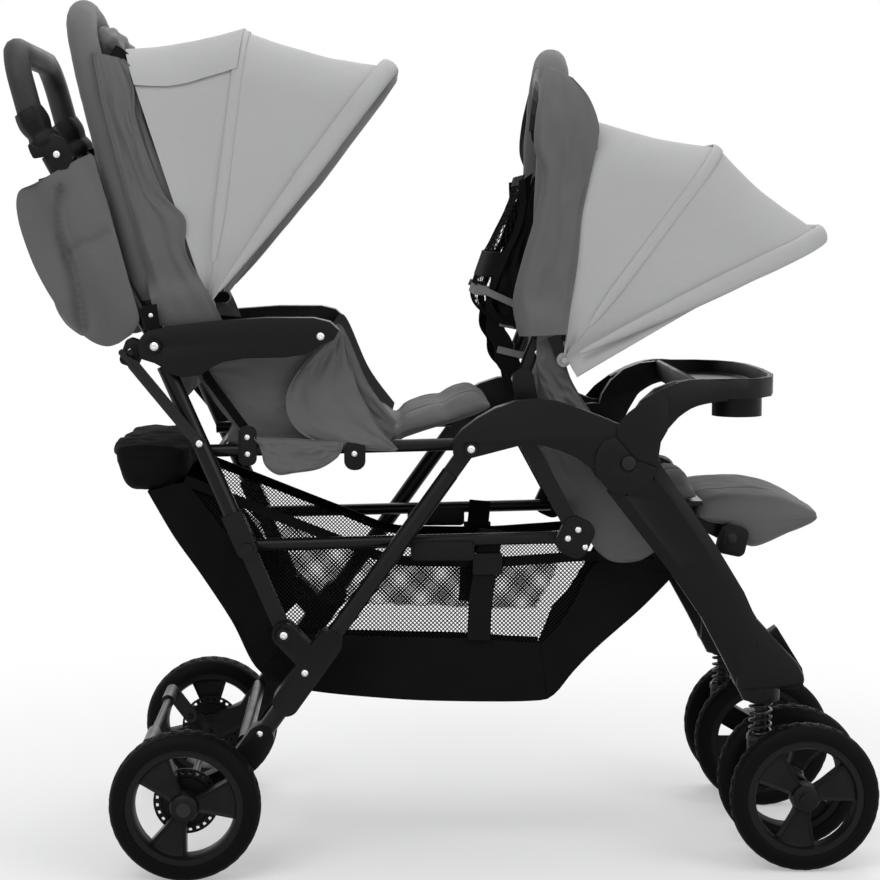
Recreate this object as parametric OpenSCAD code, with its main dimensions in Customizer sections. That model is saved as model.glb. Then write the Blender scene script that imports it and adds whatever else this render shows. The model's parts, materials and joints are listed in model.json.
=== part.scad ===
// Tandem stroller: two seats in line on a folding steel frame.
// Millimetres, +X is forwards, +Z is up, the floor is at zero.

/* [Wheels] */
// Rear wheel diameter
rear_wheel_d = 190; // [150:1:250]
// Rear wheel width
rear_wheel_w = 44; // [30:1:60]
// Front wheel diameter
front_wheel_d = 190; // [150:1:250]
// Front wheel width
front_wheel_w = 32; // [20:1:45]
// Distance between the middles of the rear wheels
rear_track = 480; // [400:2:600]
// Distance between the two front casters
caster_track = 326; // [280:2:400]
// Distance between the two wheels of one caster
twin_spacing = 110; // [90:2:140]
// Place of the rear axle along the stroller
rear_axle_x = -327; // [-450:1:-250]
// Place of the front axles along the stroller
front_axle_x = 453; // [350:1:600]
// Place of the caster stems along the stroller
kingpin_x = 405; // [320:1:550]
// Axle radius
axle_r = 5; // [3:0.5:8]

/* [Frame tubes] */
// Radius of the main frame tubes
tube_r = 11; // [8:0.5:16]
// Radius of the seat rails and side links
rail_r = 8; // [6:0.5:12]
// Wall of the tubes
tube_wall = 1.5; // [1:0.1:3]
// Distance from the middle to the main frame tubes
frame_y = 190; // [150:1:240]
// Distance from the middle to the seat rails and side links
rail_y = 165; // [120:1:200]
// Distance from the middle to the handle tubes
handle_y = 167.5; // [120:0.5:200]
// Radius of the handle tubes
handle_r = 9.5; // [7:0.5:14]
// Radius of the foam grip
grip_r = 16; // [12:0.5:22]
// Length of the handle from the arm hub to its collar
handle_len = 308; // [220:1:400]
// Lean of the handle, degrees from forwards
handle_lean = 118.5; // [95:0.1:140]

/* [Frame points] */
// Pivot of the front frame on the rear legs
bridge_x = 30; // [-20:1:80]
// Height of that pivot
bridge_z = 539; // [450:1:620]
// Foot of the rear leg tube
leg_foot_x = -269; // [-330:1:-220]
// Height of the leg tube's foot
leg_foot_z = 122; // [100:1:160]
// Pivot of the lower strut on the fold hub
strut_foot_x = -204; // [-240:1:-170]
// Height of that pivot
strut_foot_z = 303; // [260:1:350]
// Elbow pivot between the two struts
elbow_x = -250; // [-290:1:-220]
// Height of the elbow
elbow_z = 411; // [380:1:450]
// Arm hub, where the handle turns
arm_x = -361; // [-420:1:-300]
// Height of the arm hub
arm_z = 666; // [600:1:740]
// Rear end of the seat rail
rail_end_x = -312; // [-340:1:-280]
// Height of the seat rail's rear end
rail_end_z = 531; // [500:1:560]
// Front pivot of the side link
link_x = 168; // [140:1:200]
// Height of that pivot
link_z = 420; // [390:1:450]
// Top of the front seat strut
strut_top_x = 101; // [80:1:130]
// Height of that top
strut_top_z = 544; // [520:1:570]
// Front hub, where tray and leg meet
hub_x = 219; // [190:1:250]
// Height of the front hub
hub_z = 524; // [490:1:560]
// Radius of the front hub
hub_r = 43; // [34:1:55]
// Pivot of the front backrest
front_back_x = 99; // [80:1:120]
// Height of that pivot
front_back_z = 620; // [600:1:650]

/* [Seats] */
// Half width of the seat cushions
seat_half_w = 146; // [120:1:175]
// Thickness of the seat cushions
cushion_t = 32; // [15:1:50]
// Half width between the middles of a backrest hoop's legs
hoop_y = 136; // [110:1:165]
// Radius of the padded hoop
hoop_r = 17; // [12:0.5:24]
// Length of the rear hoop above the arm hub
rear_hoop_len = 450; // [350:1:520]
// Lean of the rear hoop, degrees from forwards
rear_hoop_lean = 104; // [90:0.5:115]
// Length of the front hoop above its knee
front_hoop_len = 349; // [280:1:420]
// Lean of the front hoop, degrees from forwards
front_hoop_lean = 87; // [75:0.5:100]
// Thickness of the back cushions
back_t = 34; // [15:1:50]
// Height of the cup recess
cup_depth = 42; // [30:1:70]
// Radius of the cup recess
cup_r = 29; // [24:0.5:40]

/* [Canopies] */
// Rear canopy pivot, along the stroller
rear_canopy_x = -298; // [-330:1:-260]
// Height of the rear canopy pivot
rear_canopy_z = 714; // [680:1:750]
// Reach of the rear canopy's front bow
rear_canopy_reach = 378; // [300:1:450]
// Front canopy pivot, along the stroller
front_canopy_x = 150; // [120:1:180]
// Height of the front canopy pivot
front_canopy_z = 645; // [610:1:680]
// Reach of the front canopy's front bow
front_canopy_reach = 369; // [300:1:450]
// Cloth thickness
cloth_t = 2; // [1:0.1:4]

/* [Basket] */
// Half width of the basket
basket_half_w = 146; // [100:1:160]
// Length of the basket floor
basket_floor = 324; // [250:1:400]
// Height of the basket floor above ground at its rear
basket_floor_z = 222; // [180:1:260]
// Depth of the basket
basket_depth = 262; // [150:1:320]

/* [Hidden] */
round_steps = 48;
$fn = round_steps;
// Clearances
run_gap = 0.05;
socket_gap = 0.1;
slot_gap = 0.3;
part_gap = 0.5;
soft_gap = 1.5;
// Offsets of parts from the points that carry them
arm_thick = 34;
hub_half = 18;
housing_half = 16;
cross_ahead = 71;
cross_up = 65;
lever_back = 25;
lever_up = 25;
pedal_back = 51;
pedal_up = 60;
clip_t = 8;
basket_ahead = 143;
basket_tab_share = 0.6;
rod_ahead = 66;
rod_drop = 72;
front_rod_trim = 2.5;
board_over = 45;
board_lap = 1;
board_sink = 2;
back_foot_ahead = 6;
back_foot_drop = 35;
foot_ahead = 152;
foot_drop = 112;
foot_rise = 17;
foot_len = 100;
foot_lap = 6;
foot_pad_back = 31;
lug_inset = 12;
lug_drop = 19;
hoop_eye_half = 9;
back_plate_t = 9;
pad_inset = 16;
side_back = 8;
side_drop = 66;
tray_back_ahead = 88;
tray_front_ahead = 211;
tray_low_up = 74;
tray_top_up = 99;
tray_arm_t = 22;
cup_ahead = 157;
cup_side = 122;
knee_ahead = 25;
knee_up = 65;
front_pad_ahead = 21;
front_pad_drop = 112;
front_wing_up = 160;
pouch_back = 62;
pouch_up = 84;
rear_knee_up = 44;
rear_pad_ahead = 30;
rear_pad_drop = 82;
rear_wing_up = 136;
grip_back = 21;
grip_up = 80;
tail_back = 30;
tail_drop = 8;
store_back = 179;
store_drop = 4;
store_tab_back = 97;
store_tab_up = 154;
store_tie = 175;
hook_up = 147;
hook_back = 1;
hook_drop = 10;
seat_back = 88;
seat_inset = 26;
seat_rail_gap = 11;
calf_gap = 3.3;
rear_side_back = 2;
rear_side_drop = 26;
// Side view points
rear_axle = [rear_axle_x, rear_wheel_d / 2];
front_axle = [front_axle_x, front_wheel_d / 2];
bridge_p = [bridge_x, bridge_z];
leg_foot = [leg_foot_x, leg_foot_z];
strut_foot = [strut_foot_x, strut_foot_z];
elbow = [elbow_x, elbow_z];
arm_hub = [arm_x, arm_z];
rail_end = [rail_end_x, rail_end_z];
link_p = [link_x, link_z];
strut_top = [strut_top_x, strut_top_z];
front_hub = [hub_x, hub_z];
front_back = [front_back_x, front_back_z];
rear_canopy_p = [rear_canopy_x, rear_canopy_z];
front_canopy_p = [front_canopy_x, front_canopy_z];
// Directions in the side view
function unit2(a) = a / norm(a);
function dir2(a) = [cos(a), sin(a)];
function side2(u) = [-u[1], u[0]];
leg_dir = unit2(bridge_p - leg_foot);
leg_len = norm(bridge_p - leg_foot);
strut_dir = unit2(arm_hub - elbow);
link_dir = unit2(link_p - elbow);
handle_dir = dir2(handle_lean);
rear_hoop_dir = dir2(rear_hoop_lean);
front_hoop_dir = dir2(front_hoop_lean);
// Pins, plates and lugs
pin_r = 5;
small_pin_r = 4;
head_r = 8;
head_t = 4;
strut_t = 12;
strut_w = 20;
cheek_t = 7;
lug_w = 30;
plate_t = 8;
eye_r = 14;
frame_in = frame_y - tube_r;
frame_out = frame_y + tube_r;
bridge_in = frame_out;
bridge_t = 25.5;
bridge_out = bridge_in + bridge_t;
rail_in = rail_y - rail_r;
rail_out = rail_y + rail_r;
rear_seat_half_w = rail_in - seat_rail_gap;
arm_in = handle_y + handle_r + part_gap;
arm_out = arm_in + arm_thick;
tongue_len = 42;
tongue_w = 20;
// Fold hub
hub_low_share = 0.225;
hub_high_share = 0.405;
hub_lug_share = 0.34;
hub_w = 34;
hub_in = frame_y - hub_half;
hub_out = frame_y + hub_half;
// Rear housing
housing_in = frame_y - housing_half;
housing_out = frame_y + housing_half;
housing_share = 0.115;
cross_x = rear_axle_x + cross_ahead;
cross_z = rear_wheel_d / 2 + cross_up;
cross_r = 9;
// Brake
lever_x = rear_axle_x - lever_back;
lever_z = rear_wheel_d / 2 + lever_up;
lever_p = [lever_x, lever_z];
pedal_x = rear_axle_x - pedal_back;
pedal_z = rear_wheel_d / 2 + pedal_up;
pedal_p = [pedal_x, pedal_z];
lever_w = 18;
lever_in = 158;
lever_out = 170;
pedal_r = 9;
pedal_len = 62;
// Wheels
tyre_share = 0.76;
rim_ring_share = 0.63;
wheel_hub_r = 19;
spoke_w = 30;
spoke_t_share = 0.5;
spoke_turn = 5;
spoke_shares = [[0, -0.5], [0.5, -0.46], [0.72, -0.56], [0.88, -0.82], [1, -0.9], [1, 0.9], [0.88, 0.82],
    [0.72, 0.56],
  [0.5, 0.46], [0, 0.5]];
tyre_side_share = 0.86;
tyre_crown_share = 0.965;
tyre_flat_share = 0.62;
disc_r = 48;
disc_t = 5;
disc_hole_r = 3.6;
disc_ring_r = 39;
disc_holes = 12;
spokes = 3;
nut_r = 9;
nut_t = 5;
rear_wheel_y = rear_track / 2;
caster_y = caster_track / 2;
// Front leg and caster
leg_top_gap = 24;
leg_bottom = 224;
socket_r = 24;
socket_low = 209;
socket_high = 266;
stem_r = 8;
stem_low = 122;
stem_high = 240;
flange_r = 18;
flange_low = 157;
flange_high = 163;
fork_boss_r = 17;
fork_boss_low = 108;
fork_arm_w = 30;
fork_half_w = 18;
spring_r = 13.5;
spring_wire = 2;
spring_turns = 5;
spring_rings = 8;
spring_sides = 6;
// Canopy layers, outwards from the hoop
clip_out = hoop_y + hoop_r + soft_gap;
rib_wire = 2;
rib_y = clip_out + part_gap + rib_wire;
cloth_in = rib_y + rib_wire + part_gap;
cloth_out = cloth_in + cloth_t;
bow_wire = 5;
bow_y = cloth_out + part_gap + bow_wire;
bow_corner = 62;
clip_w = 15;

// Shared helpers
function at(p, y) = [p[0], y, p[1]];
function table(base, size, shares) = [for (s = shares) [base[0] + s[0] * size[0], base[1] + s[1] * size[1]]];

module rod(p, q, r) {
  v = q - p;
  translate(p) rotate([0, acos(v[2] / norm(v)), atan2(v[1], v[0])]) cylinder(h = norm(v), r = r);
}

module pin_y(p, y0, y1, r) {
  translate([p[0], y1, p[1]]) rotate([90, 0, 0]) cylinder(h = y1 - y0, r = r);
}

module slab(pts, y0, y1) {
  translate([0, y1, 0]) rotate([90, 0, 0]) linear_extrude(height = y1 - y0) polygon(pts);
}

module bar_y(p, q, w, y0, y1) {
  s = side2(unit2(q - p)) * w / 2;
  pin_y(p, y0, y1, w / 2);
  pin_y(q, y0, y1, w / 2);
  slab([p + s, p - s, q - s, q + s], y0, y1);
}

module sides() {
  children();
  mirror([0, 1, 0]) children();
}

module pipe(p, q, r) {
  over = unit2(q - p) * tube_wall;
  difference() {
    rod(p, q, r);
    rod(p - over, q + over, r - tube_wall);
  }
}

// A closed skin over rings of the same number of points, its ends closed from their middles or in strips
function ring_area(r) = [for (p = r) 1] * [for (j = [0 : len(r) - 1])
    cross(r[j] - r[0], r[(j + 1) % len(r)] - r[0])];
function ring_mid(r) = [for (p = r) 1] * r / len(r);
module skin(rings, strip = false) {
  n = len(rings[0]);
  m = len(rings);
  last = (m - 1) * n;
  turn = ring_area(rings[0]) * (ring_mid(rings[1]) - ring_mid(rings[0])) < 0;
  ends = strip ? [] : [ring_mid(rings[0]), ring_mid(rings[m - 1])];
  pts = concat([for (r = rings) for (j = [0 : n - 1]) r[turn ? n - 1 - j : j]], ends);
  walls = [for (i = [0 : m - 2]) for (j = [0 : n - 1])
    each [[i * n + j, (i + 1) * n + j, i * n + (j + 1) % n],
          [i * n + (j + 1) % n, (i + 1) * n + j, (i + 1) * n + (j + 1) % n]]];
  fans = strip ? [] : [for (j = [0 : n - 1])
    each [[j, (j + 1) % n, m * n], [last + (j + 1) % n, last + j, m * n + 1]]];
  strips = strip ? [for (j = [0 : n / 2 - 2])
    each [[j, j + 1, n - 2 - j], [j, n - 2 - j, n - 1 - j],
          [last + j, last + n - 2 - j, last + j + 1], [last + j, last + n - 1 - j, last + n - 2 - j]]] : [];
  polyhedron(points = pts, faces = concat(walls, fans, strips));
}

// A round tube along a flat path of points, with the flat's normal given
tube_sides = 12;
function path_turn(pts, i) = let (a = pts[max(i - 1, 0)], b = pts[min(i + 1, len(pts) - 1)]) (b - a)
    / norm(b - a);
module tube_path(pts, r, normal) {
  skin([for (i = [0 : len(pts) - 1]) let (side = cross(path_turn(pts, i), normal))
    [for (k = [0 : tube_sides - 1]) pts[i] + r * (side * cos(360 / tube_sides * k)
        + normal * sin(360 / tube_sides * k))]]);
}

// A U path in a leaning plane: half width, reach, start of the legs and corner radius
arch_steps = 7;
function arch_path(p, d, w, reach, low, corner) = let (
  left = concat([[-w, low]], [for (i = [0 : arch_steps]) [-w + corner - corner * cos(90 * i / arch_steps),
      reach - corner + corner * sin(90 * i / arch_steps)]]),
  all = concat(left, [for (i = [len(left) - 1 : -1 : 0]) [-left[i][0], left[i][1]]]))
  [for (q = all) at(p + d * q[1], q[0])];

// Soft block: a side outline drawn in towards both ends of its width
soft_stations = [-1, -0.94, -0.8, -0.5, -0.2, 0.2, 0.5, 0.8, 0.94, 1];
function soft_pinch(s) = 1 - 0.3 * pow(abs(s), 8);
function mid2(pts) = [for (k = [0, 1]) (max([for (p = pts) p[k]]) + min([for (p = pts) p[k]])) / 2];
module soft_block(pts, half_w, waves, wave_share) {
  c = mid2(pts);
  skin([for (s = soft_stations)
    [for (p = pts) at(c + (p - c) * soft_pinch(s) * (1 - wave_share * pow(sin(90 * waves * (s + 1)), 2)),
        s * half_w)]]);
}

// Cushion in its own frame: length along X, width along Y, crown along Z, with sewn channels
cushion_cells = 12;
cushion_across = [-1, -0.93, -0.72, -0.5, -0.28, 0, 0.28, 0.5, 0.72, 0.93, 1];
cushion_dip_share = 0.24;
cushion_end_share = 0.42;
function cushion_end(s) = 1 - cushion_end_share * pow(abs(2 * s - 1), 10);
function cushion_channel(s, n) = 1 - cushion_dip_share * pow(abs(cos(180 * n * s)), 10);
function cushion_top(s, w, n) = cushion_end(s) * (1 - cushion_end_share * pow(abs(w), 6))
    * cushion_channel(s, n);
function cushion_narrow(x, length, half_w, corner) = x <= length - corner ? 1 :
  (half_w - corner + sqrt(max(0, pow(corner, 2) - pow(x - length + corner, 2)))) / half_w;
module cushion(length, half_w, thick, channels, corner = 0) {
  tops = [for (w = cushion_across) [for (i = [0 : cushion_cells]) let (x = i / cushion_cells * length)
    [x, w * half_w * cushion_narrow(x, length, half_w, corner),
        thick * cushion_top(i / cushion_cells, w, channels)]]];
  skin([for (row = tops) concat(row, [for (i = [cushion_cells : -1 : 0]) [row[i][0], row[i][1], 0]])], true);
}

// Rear frame
module leg_solid(y) {
  top = bridge_p - leg_dir * tongue_len;
  pipe(at(leg_foot, y), at(top, y), tube_r);
  difference() {
    bar_y(bridge_p, top, tongue_w, y - strut_t / 2, y + strut_t / 2);
    pin_y(bridge_p, y - tube_r, y + tube_r, pin_r);
  }
}

module rear_legs() {
  color([0.1, 0.1, 0.11]) sides() leg_solid(frame_y);
}

module fold_hub() {
  low = leg_foot + leg_dir * leg_len * hub_low_share;
  high = leg_foot + leg_dir * leg_len * hub_high_share;
  lug = leg_foot + leg_dir * leg_len * hub_lug_share;
  difference() {
    union() {
      bar_y(low, high, hub_w, hub_in, hub_out);
      bar_y(lug, strut_foot, lug_w, hub_in, hub_out);
    }
    rod(at(leg_foot, frame_y), at(bridge_p, frame_y), tube_r + socket_gap);
    bar_y(strut_foot, strut_foot + (elbow - strut_foot) / 2, lug_w + tube_r,
      frame_y - strut_t / 2 - slot_gap, frame_y + strut_t / 2 + slot_gap);
    pin_y(strut_foot, hub_in - head_t, hub_out + head_t, small_pin_r);
  }
}

module fold_hubs() {
  color([0.09, 0.09, 0.1]) sides() fold_hub();
}

module housing() {
  up = leg_foot + leg_dir * leg_len * housing_share;
  difference() {
    union() {
      bar_y(leg_foot, up, hub_w, housing_in, housing_out);
      bar_y(leg_foot, rear_axle, lug_w, housing_in, housing_out);
      bar_y(rear_axle, lever_p, strut_w, housing_in, frame_y);
      pin_y(lever_p, lever_in - head_t, housing_in, small_pin_r);
    }
    rod(at(leg_foot, frame_y), at(bridge_p, frame_y), tube_r + socket_gap);
    pin_y(rear_axle, housing_in - head_t, housing_out + head_t, axle_r);
  }
}

module rear_axle_housings() {
  color([0.09, 0.09, 0.1]) sides() housing();
}

module rear_cross_tube() {
  color([0.1, 0.1, 0.11]) pin_y([cross_x, cross_z], -housing_in, housing_in, cross_r);
}

module rear_axle_rod() {
  hub_face = rear_wheel_y + rear_wheel_w / 2 + part_gap;
  color([0.6, 0.6, 0.62]) {
    pin_y(rear_axle, -hub_face - nut_t, hub_face + nut_t, axle_r);
    sides() pin_y(rear_axle, hub_face, hub_face + nut_t, nut_r);
    sides() pin_y(rear_axle, housing_out, rear_wheel_y - rear_wheel_w / 2 - part_gap, nut_r);
  }
}

module pivot_pins() {
  color([0.75, 0.75, 0.77]) sides() {
    pin_y(strut_foot, hub_in, hub_out, small_pin_r);
    pin_y(strut_foot, hub_out, hub_out + head_t, head_r);
    pin_y(bridge_p, rail_in - part_gap, bridge_out + part_gap, pin_r);
    pin_y(bridge_p, bridge_out + part_gap, bridge_out + part_gap + head_t, head_r);
    pin_y(bridge_p, rail_in - part_gap - head_t, rail_in - part_gap, head_r);
  }
}

// Basket: cloth tub with sloped ends and a full pouch at the rear rim
basket_wall = 3;
basket_rear = [rear_axle_x + basket_ahead, basket_floor_z];
basket_shares = [[0, 0], [1, -0.065], [1.435, 0.61], [-0.441, 1], [-0.157, 0.069]];
basket_pouch_shares = [[-0.441, 0.99], [-0.425, 1.15], [-0.53, 1.2], [-0.69, 1.195], [-0.755, 1.12],
  [-0.72, 1.04], [-0.6, 0.99], [-0.46, 0.94]];
basket_tab_r = 9;
basket_tab = leg_foot + leg_dir * leg_len * basket_tab_share;
basket_hub_tab = leg_foot + leg_dir * leg_len * hub_lug_share;
module basket_shell() {
  outer = table(basket_rear, [basket_floor, basket_depth], basket_shares);
  c = mid2(outer);
  lift = basket_wall * 1.6;
  inner = [outer[0] + [basket_wall, lift], outer[1] + [-basket_wall, lift], outer[2] + [-lift, basket_wall],
    outer[2] + [-lift, basket_depth], outer[3] + [lift, basket_depth], outer[3] + [lift, basket_wall],
    outer[4] + [lift, lift]];
  difference() {
    slab(outer, -basket_half_w, basket_half_w);
    slab(inner, -basket_half_w + basket_wall, basket_half_w - basket_wall);
  }
}

module basket() {
  color([0.07, 0.07, 0.08]) {
    basket_shell();
    soft_block(table(basket_rear, [basket_floor, basket_depth], basket_pouch_shares), basket_half_w, 3,
        0.05);
    sides() {
      pin_y(basket_tab, basket_half_w - basket_wall, frame_in, basket_tab_r);
      pin_y(basket_hub_tab, basket_half_w - basket_wall, hub_in, basket_tab_r);
    }
  }
}

// Wheels
module tyre(d, w) {
  r = d / 2;
  rotate([90, 0, 0]) rotate_extrude() polygon([[r * tyre_share, -w / 2 * tyre_side_share],
    [r * tyre_crown_share, -w / 2], [r, -w / 2 * tyre_flat_share], [r, w / 2 * tyre_flat_share],
    [r * tyre_crown_share, w / 2], [r * tyre_share, w / 2 * tyre_side_share]]);
}

module rim(d, w, disc) {
  r = d / 2;
  flat = w * tyre_side_share;
  rotate([90, 0, 0]) difference() {
    union() {
      difference() {
        cylinder(h = flat, r = r * tyre_share, center = true);
        cylinder(h = w, r = r * rim_ring_share, center = true);
      }
      cylinder(h = w, r = wheel_hub_r, center = true);
      for (i = [0 : spokes - 1]) rotate([0, 0, 360 / spokes * i + spoke_turn])
        translate([0, 0, -flat * spoke_t_share / 2]) linear_extrude(height = flat * spoke_t_share)
          polygon([for (q = spoke_shares) [q[0] * r * (rim_ring_share + tyre_share) / 2, q[1] * spoke_w]]);
      if (disc) translate([0, 0, -w / 2]) difference() {
        cylinder(h = disc_t, r = disc_r);
        for (i = [0 : disc_holes - 1]) rotate([0, 0, 360 / disc_holes * i])
          translate([disc_ring_r, 0, -disc_t]) cylinder(h = disc_t * 3, r = disc_hole_r);
      }
    }
    cylinder(h = w * 2, r = axle_r + run_gap, center = true);
  }
}

module rear_tyre(s) {
  color([0.06, 0.06, 0.06]) translate([rear_axle[0], s * rear_wheel_y, rear_axle[1]])
      tyre(rear_wheel_d, rear_wheel_w);
}

module rear_rim(s) {
  color([0.1, 0.1, 0.1]) translate([rear_axle[0], s * rear_wheel_y, rear_axle[1]])
    mirror([0, s > 0 ? 1 : 0, 0]) mirror([0, 1, 0]) rim(rear_wheel_d, rear_wheel_w, true);
}

module front_wheel(s, t) {
  color([0.07, 0.07, 0.07]) translate([front_axle[0], s * caster_y + t * twin_spacing / 2, front_axle[1]]) {
    tyre(front_wheel_d, front_wheel_w);
    rim(front_wheel_d, front_wheel_w, false);
  }
}

module brake_bar() {
  color([0.4, 0.4, 0.42]) {
    pin_y(pedal_p, -lever_out, lever_out, axle_r);
    sides() {
      difference() {
        bar_y(lever_p, pedal_p, lever_w, lever_in, lever_out);
        pin_y(lever_p, lever_in - head_t, lever_out + head_t, small_pin_r + run_gap);
      }
      pin_y(pedal_p, lever_in - pedal_len, lever_in, pedal_r);
    }
  }
}

// Front frame
bridge_rise = 75;
bridge_shares = [[-0.116, 0.12], [-0.06, 0.31], [0.04, 0.5], [0.159, 0.67], [0.29, 0.78], [0.423, 0.813],
    [0.57, 0.77],
  [0.714, 0.66], [0.86, 0.52], [1, 0.373], [1, -0.55], [0.9, -0.6], [0.794, -0.5], [0.69, -0.35],
      [0.582, -0.24],
  [0.48, -0.15], [0.37, -0.12], [-0.042, -0.2], [-0.09, -0.17], [-0.116, -0.1]];
button_r = 9;
button_t = 7;
button_travel = 4;
button_proud = 3;
button_p = front_hub + [button_r * 0.75, -button_r * 0.35];
module front_bridge() {
  difference() {
    union() {
      slab(table(bridge_p, [hub_x - bridge_x, bridge_rise], bridge_shares), bridge_in, bridge_out);
      pin_y(front_hub, bridge_in, bridge_out, hub_r);
    }
    pin_y(bridge_p, bridge_in - head_t, bridge_out + head_t, pin_r + run_gap);
    pin_y(button_p, bridge_out - button_t - button_travel, bridge_out + head_t, button_r + slot_gap);
  }
}

module tray_button() {
  pin_y(button_p, bridge_out - button_t + button_proud, bridge_out + button_proud, button_r);
}

leg_stations = [0, 0.18, 0.4, 0.62, 0.82, 1];
leg_half_shares = [1, 0.96, 0.9, 0.85, 0.8, 0.74];
leg_slide_shares = [0, 0, 0.14, 0.5, 0.84, 1];
leg_bow_shares = [0, 0.35, 0.75, 0.9, 0.5, 0];
leg_half_w = 37;
leg_bow = 14;
leg_thick_low = 20;
leg_corner_share = 0.6;
leg_end = [kingpin_x, leg_bottom];
front_leg_dir = unit2(leg_end - front_hub);
function leg_ring(i) = let (
  base = front_hub + front_leg_dir * leg_top_gap,
  c = base + (leg_end - base) * leg_stations[i] - side2(front_leg_dir) * leg_bow * leg_bow_shares[i] * -1,
  a = side2(front_leg_dir) * leg_half_w * leg_half_shares[i],
  slide = leg_slide_shares[i],
  y = (bridge_in + bridge_t / 2) * (1 - slide) + caster_y * slide,
  t = bridge_t / 2 * (1 - slide) + leg_thick_low * slide)
  [at(c - a, y - t * leg_corner_share), at(c - a * leg_corner_share, y - t),
      at(c + a * leg_corner_share, y - t),
   at(c + a, y - t * leg_corner_share), at(c + a, y + t * leg_corner_share),
       at(c + a * leg_corner_share, y + t),
   at(c - a * leg_corner_share, y + t), at(c - a, y + t * leg_corner_share)];

foot_size = [80, 84];
foot_heel = 26;
foot_shares = [[0.03, 0], [0.88, 0], [0.97, 0.04], [1, 0.14], [0.96, 0.32], [0.55, 0.95], [0.04, 0.62],
    [0, 0.05]];
module front_leg() {
  difference() {
    union() {
      skin([for (i = [0 : len(leg_stations) - 1]) leg_ring(i)]);
      slab(table(leg_end - [foot_heel, 0], foot_size, foot_shares), caster_y - leg_thick_low * leg_corner_share,
          caster_y + leg_thick_low * leg_corner_share);
      translate([kingpin_x, caster_y, socket_low]) cylinder(h = socket_high - socket_low, r = socket_r);
    }
    pin_y(front_hub, bridge_in - bridge_t, bridge_out + bridge_t, hub_r + socket_gap);
    translate([kingpin_x, caster_y, socket_low - head_t])
        cylinder(h = socket_high - socket_low, r = stem_r + run_gap);
  }
}

// Struts, cross rods, seat board and brackets of the front seat
front_rod = [hub_x + rod_ahead, hub_z - rod_drop];
rear_rod = strut_top + (link_p - strut_top) * 0.742;
rod_r = 7;
board_t = 6;
board_front = front_rod[0] + board_over;
board_rear = rear_rod[0] + board_lap;
board_z = front_rod[1] + rod_r - board_sink;
back_foot = [front_back_x + back_foot_ahead, front_back_z - back_foot_drop];
foot_pivot = [hub_x + foot_ahead, hub_z - foot_drop];
foot_lug = [board_front - lug_inset, board_z - lug_drop];
foot_in = 99;
foot_out = 110;
foot_eye = 11;
foot_eye_w = 14;
back_in = hoop_y + hoop_eye_half + part_gap;
back_out = back_in + back_plate_t;
module front_seat_frame() {
  color([0.1, 0.1, 0.11]) {
    pin_y(rear_rod, -bridge_in + plate_t / 2, bridge_in - plate_t / 2, rod_r);
    pin_y(front_rod, -bridge_in + front_rod_trim, bridge_in - front_rod_trim, rod_r);
    translate([board_rear, -seat_half_w, board_z]) cube([board_front - board_rear, seat_half_w * 2,
        board_t]);
    sides() {
      bar_y(strut_top, link_p, strut_w, bridge_in - plate_t, bridge_in);
      bar_y(strut_top, back_foot, strut_w * 0.9, bridge_in - plate_t, bridge_in - part_gap);
      pin_y(link_p, rail_in - part_gap, bridge_in - plate_t / 2, pin_r);
      pin_y(back_foot, back_out - back_plate_t / 2, bridge_in, rail_r);
      bar_y(back_foot, front_back, eye_r * 2, back_in, back_out);
      pin_y(front_back, hoop_y - strut_t, back_in + back_plate_t / 2, pin_r);
      slab([[foot_lug[0] - rod_r, board_z + board_t], [foot_lug[0] - rod_r, foot_lug[1]],
          [foot_lug[0] + rod_r, foot_lug[1]],
        [foot_lug[0] + rod_r, board_z + board_t]], foot_in, foot_out);
      bar_y(foot_lug, foot_pivot, lever_w, foot_in, foot_out);
      pin_y(foot_pivot, (foot_in + foot_out) / 2, foot_out + foot_eye_w + part_gap, small_pin_r);
    }
  }
}

module front_seat_pad() {
  color([0.2, 0.2, 0.21]) translate([board_rear + pad_inset, 0, board_z + board_t])
    cushion(board_front - board_rear - pad_inset, seat_half_w, cushion_t, 3);
}

side_t = 5;
front_side_size = [178, 168];
front_side_base = [board_rear - side_back, board_z - side_drop];
front_side_shares = [[0, 0.5], [0.06, 0.88], [0.28, 0.96], [0.62, 0.96], [0.92, 0.76], [0.98, 0.5],
    [0.9, 0.3], [0.62, 0.1],
  [0.46, 0.02], [0.32, 0.03], [0.14, 0.22]];
module soft_panel(pts, y0, y1) {
  c = mid2(pts);
  y = (y0 + y1) / 2;
  skin([for (k = [[0.94, y0], [1, y0 + (y1 - y0) * 0.3], [1, y1 - (y1 - y0) * 0.3], [0.94, y1]])
    [for (p = pts) at(c + (p - c) * k[0], k[1])]]);
}

module front_seat_sides() {
  color([0.2, 0.2, 0.21]) sides() difference() {
    soft_panel(table(front_side_base, front_side_size, front_side_shares), seat_half_w,
        seat_half_w + side_t);
    for (p = [rear_rod, front_rod]) pin_y(p, seat_half_w - side_t, seat_half_w + side_t * 2,
        rod_r + slot_gap);
  }
}

// Harness: buckle, crotch strap and two lap straps lying over a cushion
buckle_size = [34, 42, 14];
strap_w = 25;
strap_t = 2;
module harness(x, z) {
  color([0.12, 0.12, 0.13]) {
    translate([x - buckle_size[0] / 2, -buckle_size[1] / 2, z + strap_t]) cube(buckle_size);
    translate([x, -strap_w / 2, z]) cube([buckle_size[0] * 2, strap_w, strap_t]);
    translate([x - strap_w / 2, -seat_half_w * 0.72, z]) cube([strap_w, seat_half_w * 1.44, strap_t]);
  }
}

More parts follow.
